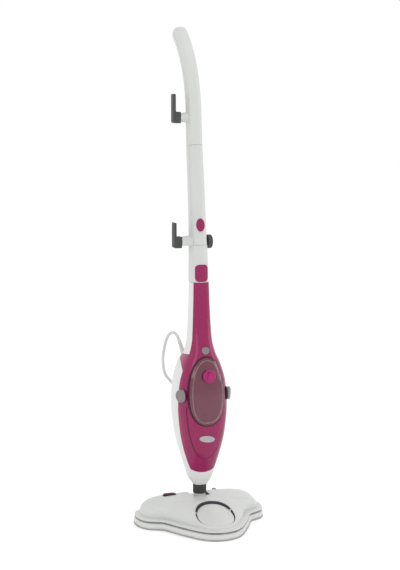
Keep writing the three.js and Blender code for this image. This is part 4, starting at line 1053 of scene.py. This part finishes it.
# ---- Power cord ----
def tube_along(name, line, radius_at, sides=14):
    """A round tube on a line, with end caps; radius_at takes the share of the way along."""
    last = len(line) - 1
    tangents = [(line[min(i + 1, last)] - line[max(i - 1, 0)]).normalized() for i in range(last + 1)]
    side = tangents[0].orthogonal().normalized()
    rings = []
    for i, (centre, along) in enumerate(zip(line, tangents)):
        side = (side - along * side.dot(along)).normalized()
        other = along.cross(side)
        radius = radius_at(i / (len(line) - 1))
        rings.append([centre + (side * math.cos(a) + other * math.sin(a)) * radius
                      for a in (2 * math.pi * k / sides for k in range(sides))])
    return loft(name, rings)


def hank_route():
    """The wound turns, top layer first, then in across the hole to the back of the plug."""
    route = []
    for step in range(HANK_TURNS * HANK_LAYERS):
        layer, column = divmod(step, HANK_TURNS)
        column = HANK_TURNS - 1 - column if layer % 2 == 0 else column
        radius = HANK_INNER + CORD_R * (2 * column + 1)
        z = HANK_LOW + CORD_R * (2 * (HANK_LAYERS - 1 - layer) + 1)
        left, right = HANK_X - HANK_RUN / 2, HANK_X + HANK_RUN / 2
        last = step == HANK_TURNS * HANK_LAYERS - 1
        runs = 4 if step == 0 else 8
        start = -30 if step == 0 else right - 8
        for i in range(runs):
            route.append((start + (left - start) * i / runs, HANK_Y - radius, z))
        for i in range(9):
            angle = math.radians(-90 - 20 * i)
            route.append((left + radius * math.cos(angle), HANK_Y + radius * math.sin(angle), z))
        if last:
            break
        for i in range(1, 8):
            route.append((left + (right - left) * i / 8, HANK_Y + radius, z))
        for i in range(9):
            angle = math.radians(90 - 20 * i)
            route.append((right + radius * math.cos(angle), HANK_Y + radius * math.sin(angle), z))
    z = PLUG_R + 0.2
    route += [(-22, 127, 4.8), (-9, 121.5, 5.6), (5, 113, 9.5), (18, 106.5, 15), (30, PLUG_Y, z),
              (41, PLUG_Y, z)]
    return route


def build_cord():
    relief = tube_along("relief", smooth_line(RELIEF_LINE, 40), lambda t: 6.2 - 2.0 * t, 28)
    subtract(relief, housing_solid(-0.1, 350, 420))
    for t in (0.42, 0.52, 0.62, 0.72, 0.82):
        centre = Vector(RELIEF_LINE[1]).lerp(Vector(RELIEF_LINE[3]), t)
        along = (Vector(RELIEF_LINE[3]) - Vector(RELIEF_LINE[1])).normalized()
        groove = spindle("cutter", [(9, -0.7), (9, 0.7)], centre, along, 32)
        subtract(relief, subtract(groove, rod(centre - along * 2, centre + along * 2, 4.5 - 0.8 * t, 32)))
    finished(relief, "strain_relief_finish", "housing", LOOK["cord"], ["cord_strain_relief"], 0.2)

    line = smooth_line(CORD_UPPER, 90)
    upper = tube_along("upper", line, lambda t: CORD_R)
    name_cord(upper, "power_cord_top", ["power_cord_upper"])
    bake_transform(upper)

    plug = build_plug()
    band = build_tie()
    line = smooth_line(CORD_LOWER[:-1] + hank_route(), 1150)
    lower = tube_along("lower", line, lambda t: CORD_R, 12)
    name_cord(lower, "power_cord_run", ["power_cord_lower", "cord_hank"])
    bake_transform(lower)


def name_cord(obj, name, nodes):
    obj.name = name
    obj.data.materials.append(LOOK["cord"])
    shade(obj, 60)
    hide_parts(*nodes)


def build_plug():
    z = PLUG_R + 0.2
    back, face = PLUG_X - PLUG_LENGTH / 2, PLUG_X + PLUG_LENGTH / 2
    profile = [(4.6, 0), (5.2, 3), (8, 9), (13, 14), (16, 17), (PLUG_R - 0.4, 19), (PLUG_R, 21), (PLUG_R, 36),
               (PLUG_R - 0.8, 38)]
    plug = spindle("plug", profile, (back, PLUG_Y, z), X, 72)
    for side in (-1, 1):
        edge = PLUG_Y + side * PLUG_R
        subtract(plug, plate_x(rounded_rect(edge - 2.2, z - 3, edge + 2.2, z + 3, 1.5), face - 14, face + 2))
    finished(plug, "plug_body", "floor_head", LOOK["cord"], ["plug"], 0.4)
    for side in (-1, 1):
        profile = round_ends(2.4, -1, PLUG_PIN, 1.0)
        pin = spindle("pin", profile, (face, PLUG_Y + side * 9.5, z), X, 24)
        pin.parent = plug
        pin.name = f"plug_pin_{'left' if side < 0 else 'right'}"
        pin.data.materials.append(LOOK["steel"])
        shade(pin)
    return plug


def build_tie():
    outside = HANK_INNER + HANK_TURNS * 2 * CORD_R
    top = HANK_LOW + HANK_LAYERS * 2 * CORD_R
    left = HANK_X - 74
    outer = rounded_rect(HANK_Y - outside - 1.6, 0.2, HANK_Y + outside + 1.6, top + 1.4, 3)
    inner = rounded_rect(HANK_Y - outside - 0.3, 1.0, HANK_Y + outside + 0.3, top + 0.3, 2.4)
    band = subtract(plate_x(outer, left, left + 12), plate_x(inner, left - 2, left + 14))
    return finished(band, "cord_tie_finish", "floor_head", LOOK["tie"], ["cord_tie"], 0.2)


# ---- Pieces that keep their CAD shape ----
KEPT = {
    "dark": ["base_plate", "pivot_bracket_left", "pivot_bracket_right", "steam_manifold", "outlet_spigot",
             "pump", "lower_spigot", "upper_spigot", "upper_cord_hook", "lower_cord_hook"],
    "tape": ["hook_strip_left", "hook_strip_right"],
    "steel": ["pedal_spring", "tilt_axle", "boiler", "shell_screw_1", "shell_screw_2"],
    "brass": ["thermostat", "thermal_fuse"],
    "rubber": ["tank_socket", "steam_hose", "tank_valve"],
    "hose": ["feed_hose", "boiler_hose"],
    "magenta_dark": ["tank_cradle"],
    "board": ["circuit_board"],
}


def dress_kept_nodes():
    for look, names in KEPT.items():
        for name in names:
            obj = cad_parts[name]
            for slot in obj.material_slots:
                slot.material = LOOK[look]
            if "hook" in name and "strip" not in name:
                soften(obj, 1.1, 3, 40)


build_camera()
build_cord()
build_studio()
build_cover()
build_hood()
build_rim()
build_pad()
build_pedal()
build_neck()
build_shells()
build_front_trim()
build_tank()
build_pole()
dress_kept_nodes()
